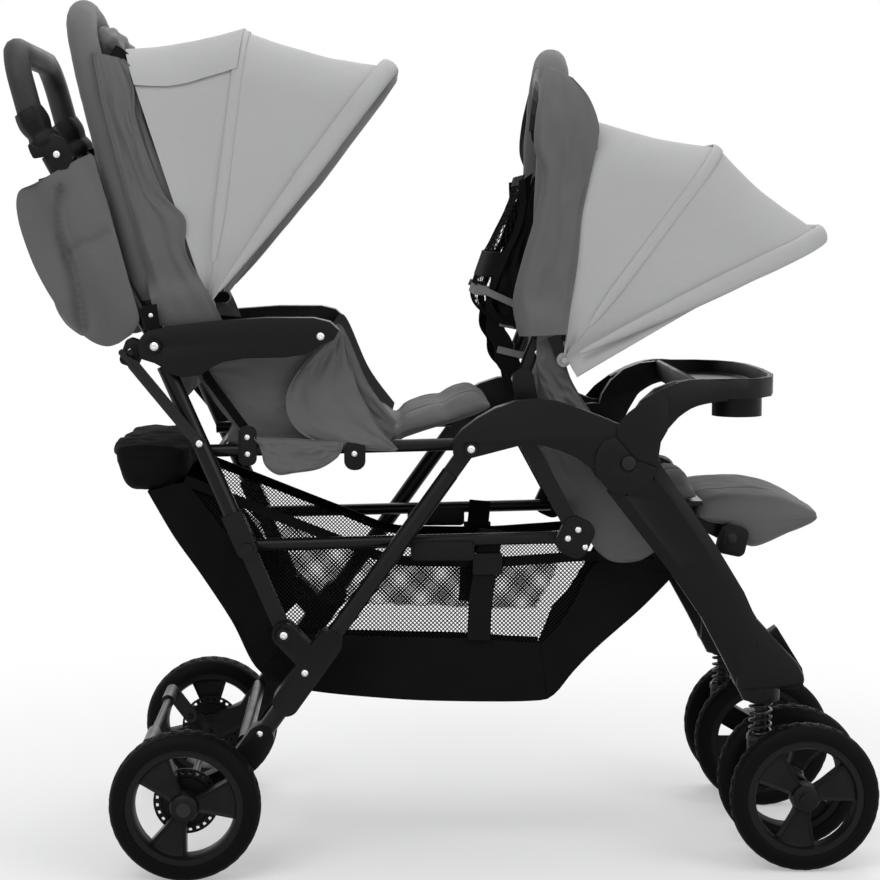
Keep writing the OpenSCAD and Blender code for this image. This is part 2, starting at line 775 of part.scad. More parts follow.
// Tray with cup recess
tray_back = hub_x + tray_back_ahead;
tray_front = hub_x + tray_front_ahead;
tray_low = hub_z + tray_low_up;
tray_top = hub_z + tray_top_up;
tray_floor_t = 8;
tray_wall = 7;
tray_half_w = bridge_in - part_gap;
tray_arm_in = tray_half_w - tray_arm_t;
tray_arm_size = [126, 98];
tray_arm_shares = [[0.05, 0.3], [0.1, 0.52], [0.2, 0.72], [0.34, 0.88], [0.52, 0.97], [0.72, 1],
    [0.78, 0.9], [0.78, 0.76],
  [0.62, 0.66], [0.5, 0.52], [0.4, 0.3], [0.33, 0.1], [0.3, -0.1], [0, -0.1]];
tray_plan_shares = [[0, -1], [0.5, -1], [0.72, -0.92], [0.88, -0.76], [0.97, -0.5], [1, 0], [0.97, 0.5],
    [0.88, 0.76],
  [0.72, 0.92], [0.5, 1], [0, 1]];
cup_p = [hub_x + cup_ahead, -cup_side];
cup_wall = 3;
cup_low = tray_top - tray_wall - cup_depth;
module tray_plan(inset, z0, z1) {
  size = [tray_front - tray_back - inset * 2, tray_half_w - inset];
  translate([0, 0, z0]) linear_extrude(height = z1 - z0)
    polygon([for (s = tray_plan_shares) [tray_back + inset + s[0] * size[0], s[1] * size[1]]]);
}

module tray() {
  color([0.09, 0.09, 0.1]) difference() {
    union() {
      difference() {
        tray_plan(0, tray_low, tray_top);
        tray_plan(tray_wall, tray_low + tray_floor_t, tray_top + tray_wall);
        tray_plan(tray_wall, tray_low - tray_wall, tray_low);
      }
      translate([cup_p[0], cup_p[1], cup_low - cup_wall])
          cylinder(h = cup_depth + cup_wall, r = cup_r + cup_wall);
      sides() {
        slab(table(front_hub, tray_arm_size, tray_arm_shares), tray_arm_in, tray_half_w);
        pin_y(front_hub, tray_arm_in, tray_half_w, hub_r * 0.9);
      }
    }
    translate([cup_p[0], cup_p[1], cup_low]) cylinder(h = cup_depth * 2, r = cup_r);
  }
}

// Casters
module front_stem() {
  translate([kingpin_x, caster_y, 0]) {
    translate([0, 0, stem_low]) cylinder(h = stem_high - stem_low, r = stem_r);
    translate([0, 0, flange_low]) cylinder(h = flange_high - flange_low, r = flange_r);
  }
}

spring_low = flange_high + spring_wire + slot_gap;
spring_high = socket_low - spring_wire - slot_gap;
spring_steps = spring_turns * spring_rings;
function spring_point(i) = [spring_r * cos(360 / spring_rings * i), spring_r * sin(360 / spring_rings * i),
  spring_low + (spring_high - spring_low) * i / spring_steps];
function spring_ring(i) = let (a = 360 / spring_rings * i, p = spring_point(i))
  [for (k = [0 : spring_sides - 1]) p + spring_wire * cos(360 / spring_sides * k) * [cos(a), sin(a), 0]
    + spring_wire * sin(360 / spring_sides * k) * [0, 0, 1]];
spring_least = min([for (i = [0 : spring_steps - spring_rings]) norm(spring_point(i
    + spring_rings) - spring_point(i))]) - 2 * spring_wire;
echo(spring_least_gap = spring_least);
module front_spring() {
  translate([kingpin_x, caster_y, 0]) skin([for (i = [0 : spring_steps]) spring_ring(i)]);
}

module caster_fork() {
  axle_end = twin_spacing / 2 + front_wheel_w / 2 + part_gap;
  translate([0, caster_y, 0]) {
    difference() {
      union() {
        translate([kingpin_x, 0, fork_boss_low]) cylinder(h = flange_low - slot_gap - fork_boss_low,
            r = fork_boss_r);
        bar_y([kingpin_x, fork_boss_low + fork_arm_w / 2], front_axle, fork_arm_w, -fork_half_w,
            fork_half_w);
      }
      translate([kingpin_x, 0, stem_low - part_gap]) cylinder(h = stem_high, r = stem_r + run_gap);
    }
    pin_y(front_axle, -axle_end - nut_t, axle_end + nut_t, axle_r);
    for (t = [-1, 1]) {
      translate([front_axle[0], t * (axle_end + nut_t / 2), front_axle[1]]) rotate([90, 0, 0])
          cylinder(h = nut_t, r = nut_r, center = true);
      translate([front_axle[0], t * (fork_half_w + twin_spacing / 2 - front_wheel_w / 2 - part_gap) / 2,
          front_axle[1]]) rotate([90, 0, 0])
        cylinder(h = twin_spacing / 2 - front_wheel_w / 2 - part_gap - fork_half_w, r = nut_r,
            center = true);
    }
  }
}

// Footrest
foot_plate_z = foot_pivot[1] + foot_rise;
foot_tip = foot_pivot[0] + foot_len;
module footrest_plate() {
  color([0.09, 0.09, 0.1]) {
    translate([foot_pivot[0] - foot_lap, -foot_out - foot_eye_w, foot_plate_z])
        cube([foot_tip - foot_pivot[0], (foot_out + foot_eye_w) * 2, side_t]);
    sides() difference() {
      union() {
        pin_y(foot_pivot, foot_out + part_gap, foot_out + foot_eye_w, foot_eye);
        slab([foot_pivot + [-foot_eye / 2, 0], foot_pivot + [foot_eye, 0],
            [foot_pivot[0] + foot_eye * 2, foot_plate_z + side_t],
          [foot_pivot[0] - foot_eye / 2, foot_plate_z + side_t]], foot_out + part_gap,
              foot_out + foot_eye_w);
      }
      pin_y(foot_pivot, foot_out - head_t, foot_out + foot_eye_w * 2, small_pin_r + run_gap);
    }
  }
}

foot_pad_half = 132;
foot_pad_size = [141, 46];
foot_pad_base = [foot_pivot[0] - foot_pad_back, foot_plate_z + side_t];
foot_pad_shares = [[0.02, 0.16], [0.1, 0], [0.93, 0], [0.99, 0.1], [1, 0.26], [0.9, 0.5], [0.72, 0.7],
    [0.5, 0.8], [0.28, 0.84],
  [0.1, 0.78], [0.02, 0.6]];
module footrest_pad() {
  color([0.2, 0.2, 0.21]) soft_block(table(foot_pad_base, foot_pad_size, foot_pad_shares), foot_pad_half,
      1, 0.04);
}

// Padded hoops: straight legs and a round top, on bare legs that run down to the pivot
hoop_corner = 122;
module hoop_body(foot, dir, length) {
  tube_path(arch_path(foot, dir, hoop_y, length - hoop_r, 0, hoop_corner), hoop_r, at(side2(dir), 0));
}

module hoop_foot(pivot, foot) {
  sides() difference() {
    union() {
      pin_y(pivot, hoop_y - hoop_eye_half, hoop_y + hoop_eye_half, eye_r);
      rod(at(pivot, hoop_y), at(foot + unit2(foot - pivot) * hoop_r, hoop_y), handle_r);
    }
    pin_y(pivot, hoop_y - strut_t * 2, hoop_y + strut_t * 2, pin_r + run_gap);
  }
}

module canopy_clip(from, p) {
  sides() {
    bar_y(from, p, clip_w, clip_out - clip_t, clip_out);
    pin_y(p, clip_out, rib_y - slot_gap, small_pin_r);
  }
}

front_knee = front_back + [knee_ahead, knee_up];
module front_hoop() {
  color([0.2, 0.2, 0.21]) {
    hoop_body(front_knee, front_hoop_dir, front_hoop_len);
    hoop_foot(front_back, front_knee);
    canopy_clip(front_knee + front_hoop_dir * hoop_r, front_canopy_p);
  }
}

// Back cushion with side wings, set in the hoop's plane
wing_in = hoop_y - hoop_r + soft_gap;
wing_out = clip_out - clip_t - soft_gap;
back_half_w = hoop_y - hoop_r - part_gap;
wing_size = [62, 300];
wing_shares = [[0, 0], [0.5, -0.03], [0.85, 0.04], [1, 0.12], [0.86, 0.3], [0.6, 0.55], [0.4, 0.8],
    [0.25, 0.97], [0.12, 1], [0, 0.97]];
module back_cushion(base, hoop_p, dir, length, wing_from) {
  ang = atan2(dir[1], dir[0]);
  n = [dir[1], -dir[0]];
  start = base - n * back_t * 0.4;
  translate(at(start, 0)) rotate([0, -ang, 0]) mirror([0, 0, 1])
    cushion(length, back_half_w, back_t, 4, hoop_corner - hoop_r - soft_gap);
  wing = base + dir * wing_from + n * (hoop_r + slot_gap - (base - hoop_p) * n);
  pts = [for (s = wing_shares) wing + n * s[0] * wing_size[0] + dir * s[1] * wing_size[1]];
  sides() soft_panel(pts, wing_in, wing_out);
}

front_pad_base = front_back + [front_pad_ahead, -front_pad_drop];
front_pad_len = 480;
module front_back_pad() {
  color([0.2, 0.2, 0.21]) back_cushion(front_pad_base, front_knee, front_hoop_dir, front_pad_len,
      front_wing_up);
}

pouch_size = [81.3, 134];
pouch_base = front_back + [-pouch_back, pouch_up];
front_pouch_shares = [[0.98, 0], [0.16, 0.04], [0.02, 0.2], [0.06, 0.42], [0.3, 0.72], [0.62, 0.92],
    [0.96, 1]];
module front_back_pouch() {
  color([0.08, 0.08, 0.09]) soft_block(table(pouch_base, pouch_size, front_pouch_shares), back_half_w, 1,
      0.03);
}

rear_knee = arm_hub + rear_hoop_dir * rear_knee_up;
module rear_hoop() {
  color([0.2, 0.2, 0.21]) {
    hoop_body(rear_knee, rear_hoop_dir, rear_hoop_len - rear_knee_up);
    hoop_foot(arm_hub, rear_knee);
    canopy_clip(rear_knee + rear_hoop_dir * hoop_r * 0.3, rear_canopy_p);
  }
}

rear_pad_base = arm_hub + [rear_pad_ahead, -rear_pad_drop];
rear_pad_len = 460;
module rear_back_pad() {
  color([0.2, 0.2, 0.21]) back_cushion(rear_pad_base, rear_knee, rear_hoop_dir, rear_pad_len, rear_wing_up);
}

// Canopies: cloth drawn over a rib and a front bow that turn about one pivot
canopy_steps = 14;
canopy_side_steps = 4;
canopy_arc_steps = 4;
canopy_low_share = 0.1;
canopy_sag = 9;
function canopy_path(w, reach, low, corner) = concat(
  [for (i = [0 : canopy_side_steps - 1]) [-w, low + (reach - corner - low) * i / canopy_side_steps]],
  [for (i = [0 : canopy_arc_steps]) [-w + corner - corner * cos(90 * i / canopy_arc_steps),
      reach - corner + corner * sin(90 * i / canopy_arc_steps)]],
  [for (i = [canopy_arc_steps : -1 : 0]) [w - corner + corner * cos(90 * i / canopy_arc_steps),
      reach - corner + corner * sin(90 * i / canopy_arc_steps)]],
  [for (i = [canopy_side_steps - 1 : -1 : 0]) [w, low + (reach - corner - low) * i / canopy_side_steps]]);
function canopy_reach(t, shares, reach) = reach * (t < 0.5 ? shares[0] + (shares[1] - shares[0])
    * t * 2 : shares[1] + (shares[2] - shares[1]) * (t * 2 - 1));
function canopy_ring(p, a0, am, a1, shares, reach, t, low) = let (
  a = t < 0.5 ? a0 + (am - a0) * t * 2 : am + (a1 - am) * (t * 2 - 1),
  r = canopy_reach(t, shares, reach) - canopy_sag * pow(sin(360 * t), 2),
  out = canopy_path(cloth_out, r, low, bow_corner),
  back = canopy_path(cloth_in, r - cloth_t, low, bow_corner - cloth_t))
  concat([for (q = out) at(p + dir2(a) * q[1], q[0])],
    [for (i = [len(back) - 1 : -1 : 0]) at(p + dir2(a) * back[i][1], back[i][0])]);
module canopy_cloth(p, a0, am, a1, shares, reach) {
  skin([for (i = [0 : canopy_steps]) canopy_ring(p, a0, am, a1, shares, reach, i / canopy_steps,
      reach * canopy_low_share)], true);
}

module arch(p, a, y, reach, corner, r, eye, bore_to) {
  d = dir2(a);
  sides() difference() {
    pin_y(p, y - r, y + r, eye);
    pin_y(p, y - r * 2, bore_to, small_pin_r + run_gap);
  }
  tube_path(arch_path(p, d, y, reach, eye * 0.8, corner), r * 0.98, at(side2(d), 0));
}

rear_angles = [104, 82.5, 52.7];
rear_reach_shares = [0.884, 0.918, 0.995];
front_angles = [78, 53.2, 25.5];
front_reach_shares = [0.83, 0.905, 0.995];
rib_inset = 8;
bow_gap_deg = 1.9;
rib_eye = 9;
bow_eye = 10;
// The rib turns on the hoop's clip pin and carries a stub pin for the front bow
module rib(p, a, reach) {
  arch(p, a, rib_y, reach, bow_corner, rib_wire, rib_eye, rib_y);
  sides() pin_y(p, rib_y + rib_wire / 2, bow_y + bow_wire + part_gap, small_pin_r);
}

module bow(p, a, reach) {
  arch(p, a, bow_y, reach, bow_corner, bow_wire, bow_eye, bow_y + bow_wire * 2);
}

module rear_canopy() {
  color([0.42, 0.42, 0.43])
    canopy_cloth(rear_canopy_p, rear_angles[0], rear_angles[1], rear_angles[2] + bow_gap_deg,
        rear_reach_shares, rear_canopy_reach);
}

module rear_canopy_rib() {
  color([0.1, 0.1, 0.1])
    rib(rear_canopy_p, rear_angles[1], rear_canopy_reach * rear_reach_shares[1] - rib_inset);
}

module rear_canopy_bow() {
  color([0.42, 0.42, 0.43]) bow(rear_canopy_p, rear_angles[2], rear_canopy_reach);
}

module front_canopy() {
  color([0.42, 0.42, 0.43])
    canopy_cloth(front_canopy_p, front_angles[0], front_angles[1], front_angles[2] + bow_gap_deg,
        front_reach_shares, front_canopy_reach);
}

module front_canopy_rib() {
  color([0.1, 0.1, 0.1])
    rib(front_canopy_p, front_angles[1], front_canopy_reach * front_reach_shares[1] - rib_inset);
}

module front_canopy_bow() {
  color([0.42, 0.42, 0.43]) bow(front_canopy_p, front_angles[2], front_canopy_reach);
}

// Handle
handle_hub_r = 20;
handle_top = arm_hub + handle_dir * handle_len;
collar_len = 30;
collar_r = 15;
collar_drop = 16;
grip_lift_share = 0.24;
grip_corner = 45;
grip_end = handle_top + [-grip_back, grip_up];
grip_dir = unit2(grip_end - handle_top);
grip_len = norm(grip_end - handle_top) - grip_corner;
tail = arm_hub + [-tail_back, -tail_drop];
tail_w = 16;
module handle_tubes() {
  color([0.1, 0.1, 0.11]) sides() {
    pin_y(arm_hub, handle_y - handle_r, handle_y + handle_r, handle_hub_r);
    bar_y(arm_hub, tail, tail_w, handle_y - small_pin_r, handle_y + small_pin_r);
    rod(at(arm_hub, handle_y), at(handle_top, handle_y), handle_r);
    pin_y(arm_hub, hoop_y - strut_t, arm_out + part_gap, pin_r);
    pin_y(arm_hub, arm_out + part_gap, arm_out + part_gap + head_t, head_r);
    pin_y(tail, handle_y, arm_out - head_t, small_pin_r);
    rod(at(handle_top - handle_dir * collar_drop, handle_y),
        at(handle_top + handle_dir * (collar_len - collar_drop), handle_y), collar_r);
  }
}

module handle_grip() {
  start = handle_top + handle_dir * (collar_len - collar_drop) + grip_dir * grip_r * grip_lift_share;
  color([0.08, 0.08, 0.08])
    tube_path(arch_path(start, grip_dir, handle_y, grip_len + grip_corner, 0, grip_corner), grip_r,
        at(side2(grip_dir), 0));
}

store_size = [136, 214];
store_base = arm_hub + [-store_back, -store_drop];
store_half_w = handle_y - handle_r - soft_gap;
store_shares = [[0.56, 0], [0.68, 0.01], [0.96, 0.17], [0.82, 0.42], [0.66, 0.68], [0.47, 0.985],
    [0.2, 0.955], [0.02, 0.91],
  [0, 0.82], [0.06, 0.7], [0.2, 0.5], [0.36, 0.28], [0.46, 0.08]];
store_tab_r = 7;
store_tab = arm_hub + [-store_tab_back, store_tab_up];
module storage_pouch() {
  color([0.2, 0.2, 0.21]) {
    soft_block(table(store_base, store_size, store_shares), store_half_w, 2, 0.05);
    sides() rod(at(store_tab, store_half_w * 0.8), at(arm_hub + handle_dir * store_tie,
        handle_y - handle_r - store_tab_r * 0.4), store_tab_r);
  }
}

trigger_drop = 78;
trigger_low = handle_len - trigger_drop;
trigger_len = 40;
trigger_r = 14;
trigger_hook = [30, 10];
module release_triggers() {
  low = arm_hub + handle_dir * trigger_low;
  high = low + handle_dir * trigger_len;
  back = [-handle_dir[1], handle_dir[0]];
  color([0.09, 0.09, 0.1]) sides() {
    difference() {
      union() {
        rod(at(low, handle_y), at(high, handle_y), trigger_r);
        slab([low + back * handle_r, low + back * trigger_hook[0] + handle_dir * trigger_hook[1],
          low + back * trigger_hook[0] + handle_dir * trigger_hook[1] * 2,
              low + handle_dir * trigger_hook[1] * 1.6 + back * handle_r],
          handle_y - small_pin_r, handle_y + small_pin_r);
      }
      rod(at(low - handle_dir * trigger_len, handle_y), at(high + handle_dir * trigger_len, handle_y),
          handle_r + slot_gap);
    }
  }
}

// Upper struts with their elbow forks
hook_pivot = elbow + strut_dir * hook_up;
fork_web = 15;
fork_len = 48;
strut_end = 27;
fork_half = 13;
module upper_struts() {
  web = elbow + strut_dir * fork_web;
  top = elbow + strut_dir * fork_len;
  s = side2(strut_dir) * fork_half;
  fork_in = frame_y - strut_t / 2 - slot_gap;
  fork_out = frame_y + strut_t / 2 + slot_gap;
  color([0.1, 0.1, 0.11]) sides() {
    bar_y(elbow, web, fork_half * 2, fork_in - cheek_t, fork_in);
    bar_y(elbow, web, fork_half * 2, fork_out, fork_out + cheek_t);
    slab([web + s, web - s, top - s, top + s], fork_in - cheek_t, fork_out + cheek_t);
    pin_y(elbow, fork_in - pin_r, fork_out + pin_r, small_pin_r);
    pin_y(elbow, fork_out + cheek_t, fork_out + cheek_t + head_t, head_r);
    pipe(at(top - strut_dir * pin_r, frame_y), at(arm_hub - strut_dir * strut_end, frame_y), tube_r);
    pin_y(hook_pivot, frame_out - tube_wall / 2, frame_out + head_t * 3, small_pin_r);
  }
}

arm_size = [228, 48];
arm_shares = [[-0.08, -0.32], [-0.09, 0], [-0.06, 0.3], [0, 0.42], [0.1, 0.5], [0.3, 0.62], [0.6, 0.72],
    [0.86, 0.72], [0.95, 0.62],
  [1, 0.4], [0.97, 0.16], [0.9, 0.02], [0.82, -0.22], [0.7, -0.3], [0.48, -0.32], [0.36, -0.5],
      [0.3, -0.9], [0.25, -1.35],
  [0.15, -1.5], [0.09, -1.3], [0.05, -0.9], [0, -0.55]];
module armrest() {
  color([0.09, 0.09, 0.1]) {
    difference() {
      union() {
        slab(table(arm_hub, arm_size, arm_shares), arm_in, arm_out);
        pin_y(arm_hub, arm_in, arm_out, handle_hub_r);
      }
      rod(at(elbow, frame_y), at(arm_hub - strut_dir * strut_end, frame_y), tube_r + socket_gap);
      pin_y(arm_hub, arm_in - head_t, arm_out + head_t, pin_r + run_gap);
    }
  }
}

hook_w = 14;
hook_t = 5;
hook_in = frame_out + head_t;
hook_top = tail + [-hook_back, -hook_drop];
module lock_hooks() {
  s = unit2(hook_top - hook_pivot);
  color([0.12, 0.12, 0.13]) sides() difference() {
    union() {
      bar_y(hook_pivot, hook_top - s * hook_w / 2, hook_w, hook_in, hook_in + hook_t);
      bar_y(hook_top - s * hook_w / 2, tail + [-hook_w * 0.75, 0], hook_w * 0.6, hook_in, hook_in + hook_t);
    }
    pin_y(hook_pivot, hook_in - head_t, hook_in + hook_t * 2, small_pin_r + run_gap);
    pin_y(tail, hook_in - head_t, hook_in + hook_t * 2, small_pin_r + soft_gap);
  }
}

module lower_struts() {
  color([0.1, 0.1, 0.11]) sides() difference() {
    bar_y(strut_foot, elbow, strut_w, frame_y - strut_t / 2, frame_y + strut_t / 2);
    pin_y(strut_foot, frame_y - strut_t, frame_y + strut_t, small_pin_r + run_gap);
    pin_y(elbow, frame_y - strut_t, frame_y + strut_t, small_pin_r + run_gap);
  }
}

// Rear seat
rail_bar_shares = [0.07, 0.737];
rail_bar_r = rail_r * 0.56;
rail_bar_drop = rail_r * 0.38;
function rail_bar(s) = rail_end + (bridge_p - rail_end) * s - [0, rail_bar_drop];
module seat_rails() {
  color([0.1, 0.1, 0.11]) {
    for (s = rail_bar_shares) pin_y(rail_bar(s), -rail_y, rail_y, rail_bar_r);
    sides() difference() {
      union() {
        rod(at(rail_end, rail_y), at(bridge_p - [eye_r / 2, 0], rail_y), rail_r);
        pin_y(bridge_p, rail_in + slot_gap, rail_out - slot_gap, eye_r);
      }
      pin_y(bridge_p, rail_in - rail_r, rail_out + rail_r, pin_r + run_gap);
    }
  }
}

seat_z = rail_end_z + rail_r;
seat_front = bridge_x - seat_back;
calf_len = 128;
calf_rise = 18;
calf_w_share = 0.94;
calf_t = 22;
module rear_seat_pad() {
  color([0.2, 0.2, 0.21]) {
    translate([rail_end_x + seat_inset, 0, seat_z]) cushion(seat_front - rail_end_x - seat_inset,
        rear_seat_half_w, cushion_t, 3);
    translate([seat_front + calf_gap, 0, bridge_z + rail_r * 0.7]) rotate([0, -calf_rise, 0])
        cushion(calf_len, rear_seat_half_w * calf_w_share, calf_t, 2);
  }
}

rear_side_size = [224, 154];
rear_side_base = [rail_end_x - rear_side_back, rail_end_z - rear_side_drop];
rear_side_shares = [[0.02, 0.14], [0.06, 0.5], [0.04, 0.86], [0.3, 0.9], [0.54, 0.95], [0.63, 0.9],
    [0.72, 0.72], [0.84, 0.5], [0.98, 0.34],
  [1, 0.24], [0.92, 0.16], [0.76, 0.06], [0.6, 0], [0.4, 0.05]];
module rear_seat_sides() {
  color([0.2, 0.2, 0.21]) sides() difference() {
    soft_panel(table(rear_side_base, rear_side_size, rear_side_shares), rear_seat_half_w,
        rear_seat_half_w + side_t);
    for (s = rail_bar_shares) pin_y(rail_bar(s), rear_seat_half_w - side_t, rear_seat_half_w + side_t * 2,
        rail_bar_r + slot_gap);
  }
}

module side_links() {
  color([0.1, 0.1, 0.11]) sides() difference() {
    union() {
      rod(at(elbow, rail_y), at(link_p - link_dir * eye_r / 2, rail_y), rail_r);
      pin_y(link_p, rail_in + slot_gap, rail_out - slot_gap, eye_r * 0.86);
    }
    pin_y(link_p, rail_in - rail_r, rail_out + rail_r, pin_r + run_gap);
  }
}

rear_legs();
fold_hubs();
rear_axle_housings();
rear_cross_tube();
rear_axle_rod();  // rear_axle
pivot_pins();
basket();
rear_tyre(-1);  // rear_tyre_right
rear_rim(-1);  // rear_rim_right
rear_tyre(1);  // rear_tyre_left
rear_rim(1);  // rear_rim_left
brake_bar();
color([0.09, 0.09, 0.1]) mirror([0, 1, 0]) front_bridge();  // front_bridge_right
color([0.09, 0.09, 0.1]) front_bridge();  // front_bridge_left
color([0.09, 0.09, 0.1]) mirror([0, 1, 0]) front_leg();  // front_leg_right
color([0.09, 0.09, 0.1]) front_leg();  // front_leg_left
front_seat_frame();
front_seat_pad();
front_seat_sides();
harness((board_rear + board_front) / 2,  // front_harness
    board_z + board_t + cushion_t);
tray();
color([0.3, 0.3, 0.31]) mirror([0, 1, 0]) tray_button();  // tray_button_right
color([0.3, 0.3, 0.31]) tray_button();  // tray_button_left
color([0.5, 0.5, 0.52]) mirror([0, 1, 0]) front_stem();  // front_stem_right
color([0.5, 0.5, 0.52]) front_stem();  // front_stem_left
color([0.1, 0.1, 0.1]) mirror([0, 1, 0]) front_spring();  // front_spring_right
color([0.1, 0.1, 0.1]) front_spring();  // front_spring_left
color([0.09, 0.09, 0.1]) mirror([0, 1, 0]) caster_fork();  // caster_fork_right
color([0.09, 0.09, 0.1]) caster_fork();  // caster_fork_left
front_wheel(-1, -1);  // front_wheel_right_outer
front_wheel(-1, 1);  // front_wheel_right_inner
front_wheel(1, 1);  // front_wheel_left_outer
front_wheel(1, -1);  // front_wheel_left_inner
footrest_plate();
footrest_pad();
front_hoop();
front_back_pad();
front_back_pouch();
front_canopy();
front_canopy_rib();
front_canopy_bow();
rear_hoop();
rear_back_pad();
rear_canopy();
rear_canopy_rib();
rear_canopy_bow();
handle_tubes();
handle_grip();
storage_pouch();
release_triggers();
lock_hooks();
upper_struts();
mirror([0, 1, 0]) armrest();  // armrest_right
armrest();  // armrest_left
lower_struts();
seat_rails();
rear_seat_pad();
rear_seat_sides();
harness((rail_end_x + seat_front) / 2, seat_z + cushion_t);  // rear_harness
side_links();
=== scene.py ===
"""Dresses a folding tandem stroller: padded cloth, canopies, moulded plastic, painted tube and wheels.

Lengths are metres in the part's own frame: +X is forwards, +Z is up, and -Y is the side that the camera sees.
"""

import json
import logging
import math
from collections.abc import Callable, Iterable, Iterator, Sequence
from contextlib import contextmanager
from dataclasses import dataclass
from enum import Enum
from typing import Any, ClassVar

import bmesh
import bpy
from mathutils import Matrix, Vector, noise
from mathutils.bvhtree import BVHTree

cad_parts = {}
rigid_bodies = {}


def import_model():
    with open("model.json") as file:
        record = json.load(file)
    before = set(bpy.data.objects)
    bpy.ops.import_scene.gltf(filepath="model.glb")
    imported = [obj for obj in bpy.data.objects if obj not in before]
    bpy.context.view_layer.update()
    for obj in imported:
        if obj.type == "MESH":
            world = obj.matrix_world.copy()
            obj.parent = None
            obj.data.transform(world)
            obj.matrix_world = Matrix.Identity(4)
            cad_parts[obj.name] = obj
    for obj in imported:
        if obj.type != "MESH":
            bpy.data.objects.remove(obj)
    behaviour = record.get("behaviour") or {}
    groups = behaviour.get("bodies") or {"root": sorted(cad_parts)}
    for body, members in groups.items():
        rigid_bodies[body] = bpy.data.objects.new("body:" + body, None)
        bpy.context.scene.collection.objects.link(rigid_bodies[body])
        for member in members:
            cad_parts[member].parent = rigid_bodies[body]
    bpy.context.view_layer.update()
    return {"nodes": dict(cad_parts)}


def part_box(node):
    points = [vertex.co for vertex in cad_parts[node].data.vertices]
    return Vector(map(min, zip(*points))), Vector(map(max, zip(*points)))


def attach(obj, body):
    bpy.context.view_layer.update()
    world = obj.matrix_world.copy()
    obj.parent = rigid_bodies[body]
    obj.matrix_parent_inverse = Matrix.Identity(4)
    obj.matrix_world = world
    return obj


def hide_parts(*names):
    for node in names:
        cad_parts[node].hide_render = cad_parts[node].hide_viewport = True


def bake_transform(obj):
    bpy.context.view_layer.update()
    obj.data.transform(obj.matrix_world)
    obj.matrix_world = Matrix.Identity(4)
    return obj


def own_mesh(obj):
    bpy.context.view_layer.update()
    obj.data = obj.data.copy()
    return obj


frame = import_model()
LOG = logging.getLogger("stroller")

Piece = bpy.types.Object
Tree = bpy.types.NodeTree
Point = tuple[float, float]
Triple = tuple[float, float, float]
Edge = Sequence[Point]
Relief = Callable[[float, float, Vector], float]
Creases = Sequence[Triple]
Share = Callable[[float], float]
SIDES = {"right": -1, "left": 1}
ARM_HUB: Point = (-0.361, 0.666)
HANDLE_LEAN = 118.5
MERGE_DISTANCE = 0.00002
STRAP_SHARES: Edge = (
    (-1, 0), (-0.94, -1), (-0.8, -0.8), (0.8, -0.8), (0.94, -1), (1, 0), (0.94, 1), (0.8, 0.8), (-0.8, 0.8),
    (-0.94, 1),
)


class Slot(Enum):
    """The record's material slots."""

    TUBE = "frame_paint"
    PLASTIC = "black_plastic"
    GREY_PLASTIC = "grey_plastic"
    STEEL = "steel"
    RIVET = "rivet_steel"
    TYRE = "tyre"
    FOAM = "foam_grip"
    BLACK_CLOTH = "black_cloth"
    DARK_CLOTH = "dark_cloth"
    LIGHT_CLOTH = "light_cloth"


class Surface(Enum):
    """How a finish is built from nodes."""

    WOVEN = "woven"
    GRAINED = "grained"
    BRUSHED = "brushed"


def feed(tree: Tree, node: bpy.types.Node, inputs: dict[str | int, Any]) -> bpy.types.Node:
    """Gives a node's inputs their values or links.

    Args:
        tree: The nodes of a material or of the world.
        node: The node to feed.
        inputs: A value, or the socket of another node, for each input.

    Returns:
        The same node.
    """
    for name, value in inputs.items():
        if isinstance(value, bpy.types.NodeSocket):
            tree.links.new(value, node.inputs[name])
        else:
            node.inputs[name].default_value = value
    return node


def add_node(tree: Tree, kind: str, inputs: dict[str | int, Any], **settings: Any) -> bpy.types.Node:
    """Adds a node and feeds it.

    Args:
        tree: The nodes of a material or of the world.
        kind: The node's type.
        inputs: A value, or the socket of another node, for each input.
        **settings: What else is set on the node.

    Returns:
        The node.
    """
    node = tree.nodes.new(kind)
    for name, value in settings.items():
        setattr(node, name, value)
    return feed(tree, node, inputs)


